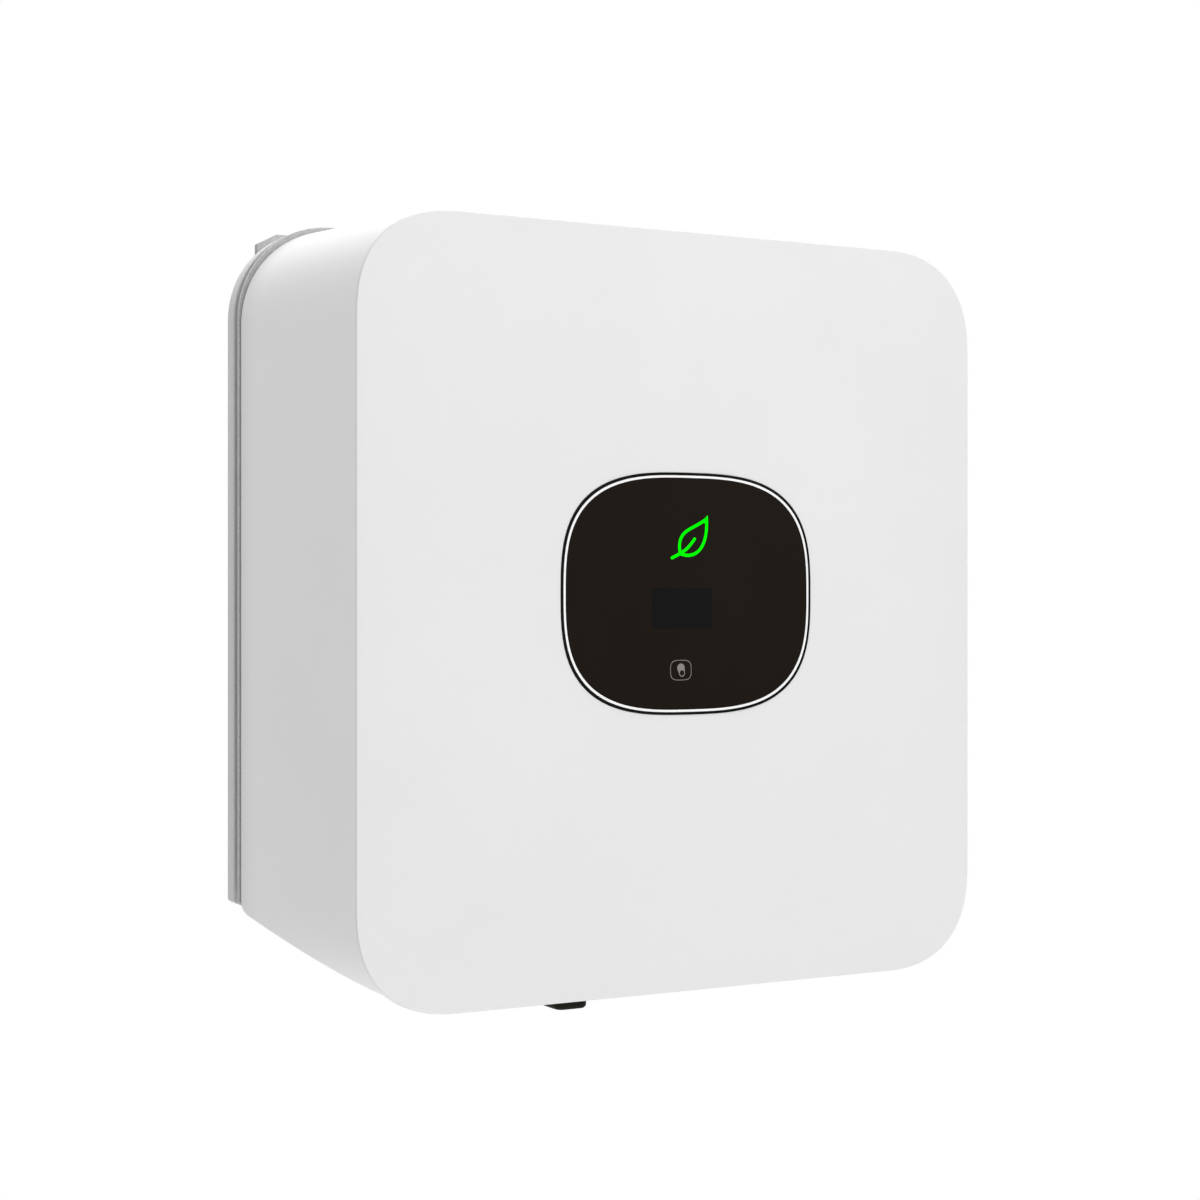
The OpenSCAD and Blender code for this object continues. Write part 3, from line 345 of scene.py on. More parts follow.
def makeFinish(name, colour, vary, rough, roughVary, grain, bump=0, metal=0, shine=0.5,
               speckle=0, cells=0):
    material = bpy.data.materials.new(name)
    material.use_nodes = True
    tree = material.node_tree
    shader = tree.nodes["Principled BSDF"]
    shader.inputs["Metallic"].default_value = metal
    shader.inputs["Specular IOR Level"].default_value = shine
    place = objectPlace(tree)
    fine = noiseAt(tree, place, grain, surface["grainDetail"])
    if cells:  # crystals of a zinc coat
        broad = crystals(tree, place, cells)
    else:
        broad = noiseAt(tree, place, surface["cloudScale"], surface["cloudDetail"])
    dark = [c * (1 - vary) for c in colour]
    light = [min(c * (1 + vary), 1) for c in colour]
    tint = twoTones(tree, broad, surface["cloudRange"], dark, light)
    if speckle:  # pale and dark grains of a powder coat
        grains = twoTones(tree, fine, surface["speckleRange"], [1 - speckle] * 3, [1] * 3)
        tint = multiply(tree, tint, grains)
    tree.links.new(tint, shader.inputs["Base Color"])
    gloss = mapRange(tree, fine, start=rough - roughVary, end=rough + roughVary)
    tree.links.new(gloss, shader.inputs["Roughness"])
    if bump:
        relief = tree.nodes.new("ShaderNodeBump")
        relief.inputs["Strength"].default_value = bump
        relief.inputs["Distance"].default_value = surface["relief"]
        tree.links.new(fine, relief.inputs["Height"])
        tree.links.new(relief.outputs["Normal"], shader.inputs["Normal"])
    return material


finish = {name: makeFinish(name, **setup) for name, setup in finishes.items()}


def axesOf(tree, place):
    apart = tree.nodes.new("ShaderNodeSeparateXYZ")
    tree.links.new(place, apart.inputs["Vector"])
    return apart.outputs


def shadeBy(material, share, ends, start, end):
    # the colour is multiplied by a grey that runs from start to end
    tree = material.node_tree
    colour = tree.nodes["Principled BSDF"].inputs["Base Color"]
    tint = colour.links[0].from_socket
    shade = twoTones(tree, share, ends, [start] * 3, [end] * 3)
    tree.links.new(multiply(tree, tint, shade), colour)


# The leaf light shines a little by itself
leafLight = dict(colour=(0, 1, 0, 1), strength=0.8)


def lightLeaf(material):
    shader = material.node_tree.nodes["Principled BSDF"]
    shader.inputs["Emission Color"].default_value = leafLight["colour"]
    shader.inputs["Emission Strength"].default_value = leafLight["strength"]


# The cover's paint gets a coarser, slightly darker grain towards its rear edge: the coarser grain
# is the paint's own, the darkening is painted shade next to the flange (depths in metres)
rearGrainAndShade = dict(start=-0.0615, end=-0.0455, power=2, scale=1300, detail=2, full=0.75, darken=0.22)


def grainAndShadeRear(material):
    tree = material.node_tree
    place = objectPlace(tree)
    near = mapRange(tree, axesOf(tree, place)["Y"], rearGrainAndShade["start"], rearGrainAndShade["end"])
    closer = mathNode(tree, "POWER", near, rearGrainAndShade["power"])
    grain = noiseAt(tree, place, rearGrainAndShade["scale"], rearGrainAndShade["detail"])
    share = mathNode(tree, "MULTIPLY", closer, grain)
    # darker grains near the rear edge stand in for the shade next to the flange: painted shade
    shadeBy(material, share, (0, rearGrainAndShade["full"]), 1, 1 - rearGrainAndShade["darken"])


# A faint line where the face's left and bottom edges turn away from the light (lengths in metres)
edgeLine = dict(depth=-0.13515, half=0.0002, start=0.095, full=0.116, lower=0.93, darken=0.17)


def shadeEdge(material):
    tree = material.node_tree
    axes = axesOf(tree, objectPlace(tree))
    left = mathNode(tree, "MULTIPLY", axes["X"], -1)
    down = mathNode(tree, "MULTIPLY", axes["Z"], -edgeLine["lower"])
    outer = mathNode(tree, "MAXIMUM", left, down)
    reach = mapRange(tree, outer, edgeLine["start"], edgeLine["full"])
    strip = mathNode(tree, "COMPARE", axes["Y"], edgeLine["depth"], edgeLine["half"])
    share = mathNode(tree, "MULTIPLY", reach, strip)
    shadeBy(material, share, (0, 1), 1, 1 - edgeLine["darken"])


# The rear frame's flange: its front face is painted paler than its rim, a painted highlight
# standing in for the light that falls on it
flangeFrontLight = dict(start=-0.5, full=-0.9, rim=0.78)


def paintFrontLight(material):
    tree = material.node_tree
    normal = tree.nodes.new("ShaderNodeTexCoord").outputs["Normal"]
    facing = mapRange(tree, axesOf(tree, normal)["Y"], flangeFrontLight["start"], flangeFrontLight["full"])
    # forward-looking faces kept light and the rest darkened: painted light on the flange's front
    # face
    shadeBy(material, facing, (0, 1), flangeFrontLight["rim"], 1)


lightLeaf(finish["leafGlow"])
grainAndShadeRear(finish["coverWhite"])
shadeEdge(finish["coverWhite"])
paintFrontLight(finish["frameGrey"])
print("finishes ready:", len(finish))


# Mesh tools
weldGap = dict(loft=1e-7, solid=2e-6)  # metres


def evenShade(piece):
    weigh = piece.modifiers.new("shade", "WEIGHTED_NORMAL")
    weigh.keep_sharp = True


def addPiece(name, bm, material, body, replaces=(), sharp=35):
    mesh = bpy.data.meshes.new(name)
    bmesh.ops.recalc_face_normals(bm, faces=bm.faces[:])
    bm.to_mesh(mesh)
    bm.free()
    mesh.shade_smooth()
    mesh.set_sharp_from_angle(angle=math.radians(sharp))
    mesh.materials.append(material)
    piece = bpy.data.objects.new(name, mesh)
    scene.collection.objects.link(piece)
    evenShade(piece)
    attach(piece, body)
    if replaces:
        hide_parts(*replaces)
    return piece


def loft(bm, rings, capFirst=False, capLast=False):
    loops = [[bm.verts.new(point) for point in ring] for ring in rings]
    count = len(loops[0])
    for near, far in zip(loops, loops[1:]):
        for i in range(count):
            j = (i + 1) % count
            bm.faces.new((near[i], near[j], far[j], far[i]))
    if capFirst:
        bm.faces.new(loops[0][::-1])
    if capLast:
        bm.faces.new(loops[-1])


def closedLoft(bm, rings):
    # the last ring joins the first
    loft(bm, rings + rings[:1])
    bmesh.ops.remove_doubles(bm, verts=bm.verts[:], dist=weldGap["loft"])


def roundedLoop(halfW, halfH, radius, perCorner=20, perSide=24, power=2):
    points = []
    corners = ((1, 1, 0), (-1, 1, 90), (-1, -1, 180), (1, -1, 270))
    for sx, sz, start in corners:
        centre = Vector((sx * (halfW - radius), sz * (halfH - radius)))
        arc = []
        for i in range(perCorner + 1):
            angle = math.radians(start + 90 * i / perCorner)
            across, up = math.cos(angle), math.sin(angle)
            reach = radius / (abs(across) ** power + abs(up) ** power) ** (1 / power)
            arc.append(centre + reach * Vector((across, up)))
        if points:
            points += [points[-1].lerp(arc[0], k / perSide) for k in range(1, perSide)]
        points += arc
    points += [points[-1].lerp(points[0], k / perSide) for k in range(1, perSide)]
    return points


def turnsOf(count):
    return [2 * math.pi * i / count for i in range(count)]


def squircleRadius(angle, halfW, halfH, power=3):
    across = abs(math.cos(angle)) / halfW
    up = abs(math.sin(angle)) / halfH
    return (across ** power + up ** power) ** (-1 / power)


def squircleLoop(halfW, halfH, centreZ, count=192, power=3):
    points = []
    for angle in turnsOf(count):
        radius = squircleRadius(angle, halfW, halfH, power)
        points.append(Vector((radius * math.cos(angle), centreZ + radius * math.sin(angle))))
    return points


def atDepth(loop, y):
    return [(p.x, y, p.y) for p in loop]


def atHeight(loop, height, matrix):
    return [matrix @ Vector((p.x, p.y, height)) for p in loop]


def turnedRings(profile, matrix, count):
    # each step is (radius, height) in mm, then a number of flats or (ribs, depth)
    rings = []
    for radius, height, *form in profile:
        ring = []
        for angle in turnsOf(count):
            reach = radius
            if form and isinstance(form[0], tuple):
                ribs, depth = form[0]
                reach -= depth * (0.5 - 0.5 * math.cos(angle * ribs)) ** 2
            elif form:
                wedge = 2 * math.pi / form[0]
                reach /= math.cos(angle % wedge - wedge / 2)
            ring.append(Vector((reach * math.cos(angle), reach * math.sin(angle))))
        rings.append(atHeight(ring, height, matrix))
    return rings


def turned(bm, profile, matrix, count=48):
    loft(bm, turnedRings(profile, matrix, count), True, True)


def frameAt(place, facing):
    # a frame in mm whose own +Z looks along facing
    turn = Vector(facing).to_track_quat("Z", "Y").to_matrix().to_4x4()
    return Matrix.Translation(place) @ turn @ Matrix.Scale(mm, 4)


def middleOf(node):
    low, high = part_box(node)
    return (low + high) / 2


def bodyOf(node):
    return cadNodes[node]["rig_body"]


def welded(node):
    bm = bmesh.new()
    bm.from_mesh(cadNodes[node].data)
    bmesh.ops.remove_doubles(bm, verts=bm.verts[:], dist=weldGap["solid"])
    return bm


def solidBoxes(node):
    # the box of each separate solid in a node
    bm = welded(node)
    left = set(bm.verts)
    boxes = []
    while left:
        stack = [left.pop()]
        points = []
        while stack:
            vert = stack.pop()
            points.append(vert.co.copy())
            for edge in vert.link_edges:
                other = edge.other_vert(vert)
                if other in left:
                    left.remove(other)
                    stack.append(other)
        low = Vector([min(p[k] for p in points) for k in range(3)])
        high = Vector([max(p[k] for p in points) for k in range(3)])
        boxes.append((low, high))
    bm.free()
    return sorted(boxes, key=lambda box: [round(box[0][k], 4) for k in (0, 2, 1)])


# Front cover: flared sides, a rounded front edge, a pillowed face with the panel's hole
# and a skirt that is cut away underneath
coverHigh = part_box("front_cover")[1]
cover = dict(
    depth=90 * mm,
    frontHalfW=119.65 * mm,
    frontHalfH=129.1 * mm,
    frontCorner=36.5 * mm,
    frontPower=2.46,  # 2 is a circle, more is squarer
    rearCorner=35 * mm,
    rearPower=2,
    rearGap=0.7 * mm,  # the rear edge stops this short, so that the seal shows as a dark line
    sideRings=14,
    edge=0.6 * mm,
    edgeSteps=6,
    crown=2.5 * mm,
    crownReach=0.8,  # share of the way from the edge to the panel
    crownRings=22,
    crownSpread=1.3,  # more sets the rings closer together near the edge
    wall=3 * mm,
    # the skirt's cut edge: depth behind the front edge and rise over the bottom edge
    skirt=((2.2 * mm, 7.5 * mm), (85.8 * mm, 23.6 * mm), (88.4 * mm, 25.0 * mm),
           (90 * mm, 27.4 * mm)),
    bevel=0.35 * mm,
    bevelSteps=2,
    sharp=50,
)
panel = dict(halfW=48.9 * mm, halfH=40.9 * mm, middle=6 * mm, ring=0.85 * mm, gap=0.1 * mm)
yFront = coverHigh.y - cover["depth"]


def coverOutline(share, inset=0):
    # share 0 at the front face, 1 at the rear edge
    halfW = cover["frontHalfW"] + (coverHigh.x - cover["frontHalfW"]) * share
    halfH = cover["frontHalfH"] + (coverHigh.z - cover["frontHalfH"]) * share
    corner = cover["frontCorner"] + (cover["rearCorner"] - cover["frontCorner"]) * share
    power = cover["frontPower"] + (cover["rearPower"] - cover["frontPower"]) * share
    return roundedLoop(halfW - inset, halfH - inset, corner - inset, power=power)


def panelHole(border):
    halfW, halfH = panel["halfW"] + panel["gap"], panel["halfH"] + panel["gap"]
    hole = []
    for p in border:
        angle = math.atan2(p.y - panel["middle"], p.x)
        radius = squircleRadius(angle, halfW, halfH)
        across, up = radius * math.cos(angle), radius * math.sin(angle)
        hole.append(Vector((across, panel["middle"] + up)))
    return hole


def coverRings():
    edge, depth = cover["edge"], cover["depth"]
    edgeShare = edge / depth
    rearShare = 1 - cover["rearGap"] / depth
    rings = []
    for i in range(cover["sideRings"] + 1):
        share = rearShare - (rearShare - edgeShare) * i / cover["sideRings"]
        rings.append(atDepth(coverOutline(share), yFront + depth * share))
    for i in range(1, cover["edgeSteps"] + 1):
        angle = math.radians(90 * i / cover["edgeSteps"])
        share = edgeShare * (1 - math.sin(angle))
        outline = coverOutline(share, edge * (1 - math.cos(angle)))
        rings.append(atDepth(outline, yFront + depth * share))
    border = coverOutline(0, edge)
    hole = panelHole(border)
    for i in range(1, cover["crownRings"] + 1):
        share = (i / cover["crownRings"]) ** cover["crownSpread"]
        run = min(share / cover["crownReach"], 1)
        y = yFront - cover["crown"] * (1 - (1 - run) ** 2)
        rings.append(atDepth([p.lerp(h, share) for p, h in zip(border, hole)], y))
    return rings


def cutSkirt(bm):
    corners = []
    for depth, rise in cover["skirt"]:
        corners.append(Vector((0, yFront + depth, rise - cover["frontHalfH"])))
    walls = [(corners[0], Vector((0, 1, 0)))]
    for start, end in zip(corners, corners[1:]):
        along = end - start
        walls.append((start, Vector((0, -along.z, along.y)).normalized()))  # points up from the cut
    for point, normal in walls:
        everything = bm.verts[:] + bm.edges[:] + bm.faces[:]
        bmesh.ops.bisect_plane(bm, geom=everything, plane_co=point, plane_no=normal)
    under = []
    for face in bm.faces:
        middle = face.calc_center_median()
        cutOff = any((middle - p).dot(n) < 0 for p, n in walls[1:])
        if middle.y > corners[0].y and middle.z < 0 and cutOff:
            under.append(face)
    bmesh.ops.delete(bm, geom=under, context="FACES")


def makeCover():
    bm = bmesh.new()
    loft(bm, coverRings())
    cutSkirt(bm)
    piece = addPiece("cover_shell", bm, finish["coverWhite"], "inverter", ["front_cover"],
                     cover["sharp"])
    piece.modifiers.clear()  # the shading comes after the wall and its bevels
    solid = piece.modifiers.new("wall", "SOLIDIFY")
    solid.thickness = cover["wall"]
    solid.offset = -1
    solid.use_even_offset = True
    soft = piece.modifiers.new("edges", "BEVEL")
    soft.width = cover["bevel"]
    soft.segments = cover["bevelSteps"]
    soft.limit_method = "ANGLE"
    soft.angle_limit = math.radians(cover["sharp"])
    evenShade(piece)


makeCover()
print("cover made")

# Display panel: black rim, white ring and dark lens, all of the same rounded form
lensLow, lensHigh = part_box("display_lens")
bezelLow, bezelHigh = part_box("display_bezel")
display = dict(
    soft=0.12 * mm,
    turn=0.3,  # where the soft edge's middle step lies, as a share of it
    lensDrop=0.02 * mm,  # the light, screen and key stand this far proud of the lens
    lensFlat=8,  # where the lens's flat starts, in soft edges
    fit=0.04 * mm,
)


def panelLoop(inset):
    return squircleLoop(panel["halfW"] - inset, panel["halfH"] - inset, panel["middle"])


def panelEdge(inset, way, front, rear):
    # from the rear to the softened front edge; way is 1 for an outer edge and -1 for an inner one
    soft = display["soft"]
    turn = soft * display["turn"]
    steps = ((0, rear), (0, front + soft), (turn, front + turn), (soft, front))
    return [atDepth(panelLoop(inset + way * step), y) for step, y in steps]


def panelRing(name, outer, inner, front, rear, finishName, node):
    bm = bmesh.new()
    closedLoft(bm, panelEdge(outer, 1, front, rear) + panelEdge(inner, -1, front, rear)[::-1])
    addPiece(name, bm, finish[finishName], "inverter", [node])


def makeLens():
    front = lensLow.y + display["lensDrop"]
    edge = 2 * panel["ring"] + display["fit"]
    bm = bmesh.new()
    rings = panelEdge(edge, 1, front, lensHigh.y)
    rings.append(atDepth(panelLoop(edge + display["soft"] * display["lensFlat"]), front))
    loft(bm, rings, True, True)
    addPiece("lens_plate", bm, finish["lensBlack"], "inverter", ["display_lens"])


panelRing("bezel_rim", 0, panel["ring"], bezelLow.y, bezelHigh.y, "ringBlack",
          "display_bezel")
panelRing("bright_ring", panel["ring"] + display["fit"], 2 * panel["ring"], lensLow.y, lensHigh.y,
          "ringWhite", "display_ring")
makeLens()

# Touch key: a thin rounded ring round a fist with one finger out, in mm
# Each oval is its middle across and up, then its half width and half height
touchKey = dict(
    halfW=4.12,
    halfH=3.44,
    stroke=0.2,
    power=3.5,
    fist=(0.02, 0.82, 1.44, 1.42),
    finger=(0.42, -1.05, 1.12, 1.17),
    inside=(0.43, -0.96, 0.88, 0.92),
    count=96,
)


def ovalPoint(oval, angle):
    across, up, halfW, halfH = oval
    alongX, alongZ = halfW * math.cos(angle), halfH * math.sin(angle)
    reach = math.hypot(alongX, alongZ)
    return Vector((across + halfW * alongX / reach, up + halfH * alongZ / reach))


def roundOvals(*ovals):
    # a band stretched round the ovals
    points = []
    for angle in turnsOf(touchKey["count"]):
        way = Vector((math.cos(angle), math.sin(angle)))
        points.append(max((ovalPoint(oval, angle) for oval in ovals), key=way.dot))
    return points


def keyLoop(inset):
    s = touchKey
    return squircleLoop(s["halfW"] - inset, s["halfH"] - inset, 0, s["count"], s["power"])


def makeTouchKey():
    s = touchKey
    low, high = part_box("touch_key")
    middle = Vector(((low.x + high.x) / 2, (low.z + high.z) / 2))
    ring = (keyLoop(0), keyLoop(s["stroke"]))
    hand = (roundOvals(s["fist"], s["finger"]), roundOvals(s["inside"]))
    bm = bmesh.new()
    for loops in (ring, hand):
        outer, inner = ([middle + p * mm for p in loop] for loop in loops)
        closedLoft(bm, [atDepth(outer, high.y), atDepth(outer, low.y),
                        atDepth(inner, low.y), atDepth(inner, high.y)])
    addPiece("touch_key_mark", bm, finish["markGrey"], "inverter", ["touch_key"])


makeTouchKey()
print("display made")

# Nodes that keep their solid's shape: welded, with their sharp edges softened
# Each has its finish, slot and edge in mm, and the seal also how far it reaches forward
dressed = dict(
    status_leaf=("leafGlow", "leaf_green", 0),
    display_screen=("screenDark", "screen_dark", 0),
    cover_gasket=("sealDark", "seal_dark", 0.3, cover["rearGap"]),
    rear_frame=("frameGrey", "frame_grey", 0.2),
    groove_seal=("sealDark", "seal_dark", 0.3),
    heat_sink=("sinkGrey", "sink_metal", 0.5),
    wall_bracket=("zincSteel", "zinc_steel", 0.3),
    hanger_rails=("zincSteel", "zinc_steel", 0.25),
    connector_plate=("plateGrey", "plate_metal", 0.4),
)
dressing = dict(flat=0.5, sharp=35, bevelSteps=2)  # angles in degrees


def dressNode(node, finishName, slot, bevel, reach=0):
    bm = welded(node)
    if reach:
        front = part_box(node)[0].y
        for vert in bm.verts:
            if vert.co.y < front + reach:
                vert.co.y -= reach
    bmesh.ops.dissolve_limit(bm, angle_limit=math.radians(dressing["flat"]), verts=bm.verts[:],
                             edges=bm.edges[:])
    if bevel:
        limit = math.radians(dressing["sharp"])
        sharp = [e for e in bm.edges if len(e.link_faces) == 2 and e.calc_face_angle() > limit]
        bmesh.ops.bevel(bm, geom=sharp, offset=bevel * mm, segments=dressing["bevelSteps"],
                        profile=0.5, affect="EDGES", clamp_overlap=False)
    addPiece(node + "_dressed", bm, finish[finishName], bodyOf(node), [node])


for nodeName, nodeSetup in dressed.items():
    dressNode(nodeName, *nodeSetup)
print("solid nodes dressed:", len(dressed))

# Screws: turned heads with a six-sided socket and a ridged shank, one piece for each node's row
screws = dict(  # the way that the heads face
    rail_screws=(0, 1, 0),
    cover_screws=(0, 1, 0),
    grid_screws=(0, 0, -1),
    earth_screw=(0, 0, -1),
)
screwShape = dict(  # heights in mm, the rest as shares of the head's radius or height
    headShare=0.58,
    head=((0.97, 1), (1, 0.9), (1, 0.4), (0.95, 0.2), (0.84, 0.06), (0.68, 0)),
    socket=0.42,
    socketRim=1.06,
    socketSoft=0.06,
    socketDepth=0.6,
    socketSides=6,
    shank=0.53,
    tip=0.7,
    tipH=0.5,
    ridgeFrom=0.9,
    ridgeRoot=0.86,
    pitch=0.8,
)


def screwProfile(headR, length):
    s = screwShape
    headH = headR * s["headShare"]
    shankR = headR * s["shank"]
    profile = [(shankR * s["tip"], -length), (shankR, -length + s["tipH"])]
    height = -length + s["ridgeFrom"]
    while height < -headH - s["pitch"]:
        profile += [(shankR, height), (shankR * s["ridgeRoot"], height + s["pitch"] / 2)]
        height += s["pitch"]
    profile.append((shankR, -headH))
    profile += [(headR * across, -headH * up) for across, up in s["head"]]
    socket = headR * s["socket"]
    profile += [
        (socket * s["socketRim"], 0, s["socketSides"]),
        (socket, -headH * s["socketSoft"], s["socketSides"]),
        (socket, -headH * s["socketDepth"], s["socketSides"]),
    ]
    return profile


def makeScrews(node, facing):
    bm = bmesh.new()
    facing = Vector(facing)
    for low, high in solidBoxes(node):
        middle = (low + high) / 2
        size = (high - low) / mm
        length = abs(size.dot(facing))
        head = middle + facing * length / 2 * mm
        turned(bm, screwProfile(size.x / 2, length), frameAt(head, facing))
    addPiece(node + "_turned", bm, finish["screwSteel"], bodyOf(node), [node])


for nodeName, screwFacing in screws.items():
    makeScrews(nodeName, screwFacing)
print("screws made:", len(screws))

# Underside: all of it hangs from the connector plate, in mm, heights down from its lower face
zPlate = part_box("connector_plate")[0].z
down = (0, 0, -1)


def below(node):
    middle = middleOf(node)
    return frameAt((middle.x, middle.y, zPlate), down)


def hungFrom(node):
    middle = middleOf(node)
    return frameAt((middle.x, middle.y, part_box(node)[1].z), down)


def lengthBelow(node):
    return (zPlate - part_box(node)[0].z) / mm


def heightOf(node):
    low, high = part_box(node)
    return (high.z - low.z) / mm


def addTurned(node, profile, matrix, count, finishName="mouldedBlack", body="inverter"):
    bm = bmesh.new()
    turned(bm, profile, matrix, count)
    addPiece(node + "_turned", bm, finish[finishName], body, [node])


# Solar sockets: six-sided flange, ribbed barrel, open mouth
pvSocket = dict(
    stem=6, stemH=16,
    flange=9.5, flangeH=6, flangeSides=6, flangeFoot=0.5, flangeLip=0.7,
    seat=7.6, neck=7.0, neckH=2, neckSlope=0.4,
    barrel=7.7, ribs=14, ribDepth=0.45, ribFade=1, ribEnd=7, shoulder=1, mouth=0.8, mouthIn=0.6,
    bore=5.5, boreDepth=18, boreIn=0.5, boreSoft=0.3,
    well=3.6, wellTop=9, wellSoft=0.4,
    count=168,  # points round each ring
)


def makeSolarSocket(node):
    s = pvSocket
    tip = lengthBelow(node)
    foot, barrel, bore, well = s["flangeH"], s["barrel"], s["bore"], s["well"]
    barrelTop = foot + s["neckH"] + s["neckSlope"]
    boreTop = tip - s["boreDepth"]
    sides = s["flangeSides"]
    ribs = (s["ribs"], s["ribDepth"])
    profile = [
        (s["stem"], -s["stemH"]), (s["stem"], 0),
        (s["flange"] - s["flangeFoot"], 0, sides), (s["flange"], s["flangeFoot"], sides),
        (s["flange"], foot - s["flangeLip"], sides), (s["flange"] - s["flangeLip"], foot, sides),
        (s["seat"], foot), (s["neck"], foot + s["neckSlope"]), (s["neck"], foot + s["neckH"]),
        (barrel, barrelTop), (barrel, barrelTop + s["shoulder"]),
        (barrel, barrelTop + s["shoulder"] + s["ribFade"], ribs), (barrel, tip - s["ribEnd"], ribs),
        (barrel, tip - s["ribEnd"] + s["ribFade"]), (barrel, tip - s["mouth"]),
        (barrel - s["mouthIn"], tip), (bore + s["boreIn"], tip), (bore, tip - s["mouthIn"]),
        (bore, boreTop + s["boreSoft"]), (bore - s["boreSoft"], boreTop),
        (well + s["wellSoft"], boreTop), (well, boreTop - s["wellSoft"]), (well, s["wellTop"]),
    ]
    addTurned(node, profile, below(node), s["count"])


makeSolarSocket("pv_plus_socket")
makeSolarSocket("pv_minus_socket")

# Solar switch: a collar on the plate, and a ribbed knob with a waisted bar and a pointer
switch = dict(
    collar=14.5, collarH=2.5, collarFoot=0.3, collarRim=0.7, collarSlope=0.8, hole=3.2,
    collarCount=96, discCount=180,  # points round each ring
    disc=14, discH=12, discFoot=0.5, ribs=30, ribDepth=0.5, plainEnd=1.5, ribEnd=2.2,
    discEdge=((0.3, 0.6), (1.2, 0)),  # inward and up to the disc's end
    barHalfL=13.5, barEnd=6.2, barMiddle=6.9, barCorner=3, leastCorner=0.2,
    barFoot=0.4, barFootH=0.6, barSunk=1,
    draft=0.2, tipRound=1.4, tipSteps=5,
    pointerHalfW=0.75, pointerHalfL=4.2, pointerRound=0.6, pointerAt=7.2, pointerSunk=0.4,
    pointerH=0.03,
)


def makeCollar():
    s = switch
    profile = [
        (s["hole"], 0), (s["collar"] - s["collarFoot"], 0), (s["collar"], s["collarFoot"]),
        (s["collar"], s["collarH"] - s["collarSlope"]),
        (s["collar"] - s["collarRim"], s["collarH"]), (s["hole"], s["collarH"]),
    ]
    bm = bmesh.new()
    closedLoft(bm, turnedRings(profile, below("switch_collar"), s["collarCount"]))
    addPiece("switch_collar_turned", bm, finish["mouldedBlack"], "inverter", ["switch_collar"])


def barLoop(inset):
    s = switch
    corner = max(s["barCorner"] - inset, s["leastCorner"])
    halfW = s["barEnd"] - inset
    points = []
    for p in roundedLoop(halfW, s["barHalfL"] - inset, corner, perCorner=6, perSide=14):
        swell = (s["barMiddle"] - s["barEnd"]) * (1 - (p.y / s["barHalfL"]) ** 2)
        out = math.copysign(swell, p.x) * min(abs(p.x) / halfW, 1)
        points.append(Vector((p.x + out, p.y)))
    return points


def discProfile():
    s = switch
    disc, top = s["disc"], s["discH"]
    ribs = (s["ribs"], s["ribDepth"])
    profile = [
        (disc - s["discFoot"], 0), (disc, s["discFoot"]), (disc, s["plainEnd"]),
        (disc, s["ribEnd"], ribs), (disc, top - s["ribEnd"], ribs), (disc, top - s["plainEnd"]),
    ]
    return profile + [(disc - inward, top - up) for inward, up in s["discEdge"]]


def makeKnob():
    s = switch
    place = hungFrom("switch_knob")
    tip = heightOf("switch_knob") - s["pointerH"]
    bm = bmesh.new()
    turned(bm, discProfile(), place, s["discCount"])
    steps = [(-s["barFoot"], s["discH"] - s["barSunk"]), (-s["barFoot"], s["discH"]),
             (0, s["discH"] + s["barFootH"]), (s["draft"], tip - s["tipRound"])]
    for i in range(1, s["tipSteps"] + 1):
        angle = math.radians(90 * i / s["tipSteps"])
        inset = s["draft"] + s["tipRound"] * (1 - math.cos(angle))
        steps.append((inset, tip - s["tipRound"] * (1 - math.sin(angle))))
    rings = [atHeight(barLoop(inset), height, place) for inset, height in steps]
    loft(bm, rings, True, True)
    addPiece("switch_knob_turned", bm, finish["knobBlack"], "switch_handle", ["switch_knob"])
    mark = bmesh.new()
    line = roundedLoop(s["pointerHalfW"], s["pointerHalfL"], s["pointerRound"],
                       perCorner=5, perSide=4)
    line = [p + Vector((0, s["pointerAt"])) for p in line]
    ends = (tip - s["pointerSunk"], tip + s["pointerH"])
    loft(mark, [atHeight(line, height, place) for height in ends], True, True)
    addPiece("knob_pointer", mark, finish["markWhite"], "switch_handle")


makeCollar()
makeKnob()

# On and off marks printed on the plate beside the knob
switchMarks = dict(
    offReach=18.5, ringOuter=2.3, ringInner=1.7, ringCount=48,
    onReach=17.5, barHalfW=0.35, barHalfL=2.2, barRound=0.2,
    thick=0.06,
)


def makeSwitchMarks():
    s = switchMarks
    middle = middleOf("switch_knob")
    off = frameAt((middle.x, middle.y - s["offReach"] * mm, zPlate), down)
    on = frameAt((middle.x + s["onReach"] * mm, middle.y, zPlate), down)
    profile = [(s["ringInner"], 0), (s["ringOuter"], 0), (s["ringOuter"], s["thick"]),
               (s["ringInner"], s["thick"])]
    bm = bmesh.new()
    closedLoft(bm, turnedRings(profile, off, s["ringCount"]))
    line = roundedLoop(s["barHalfW"], s["barHalfL"], s["barRound"], perCorner=3, perSide=3)
    loft(bm, [atHeight(line, height, on) for height in (0, s["thick"])], True, True)
    addPiece("switch_marks", bm, finish["markGrey"], "inverter")


makeSwitchMarks()

# Data port: ribbed collar and open tube, under a pull-off cap
port = dict(
    stemH=9,
    collar=8.8, collarH=9, soft=0.5, ribs=24, ribDepth=0.5, plainEnd=1.4, ribEnd=2,
    tube=7, bore=5.2, boreIn=0.3, boreSoft=0.4, boreTop=3,
    count=168,
)
cap = dict(
    bore=7.12, boreDepth=15.5, boreSoft=0.3,
    radius=8.5, soft=0.5, band=3, ribs=22, ribDepth=0.6, ribFade=0.8, ribEnd=2, plainEnd=1.2,
    dome=3.2, domeTurn=86, domeSteps=7,
    count=176,
)


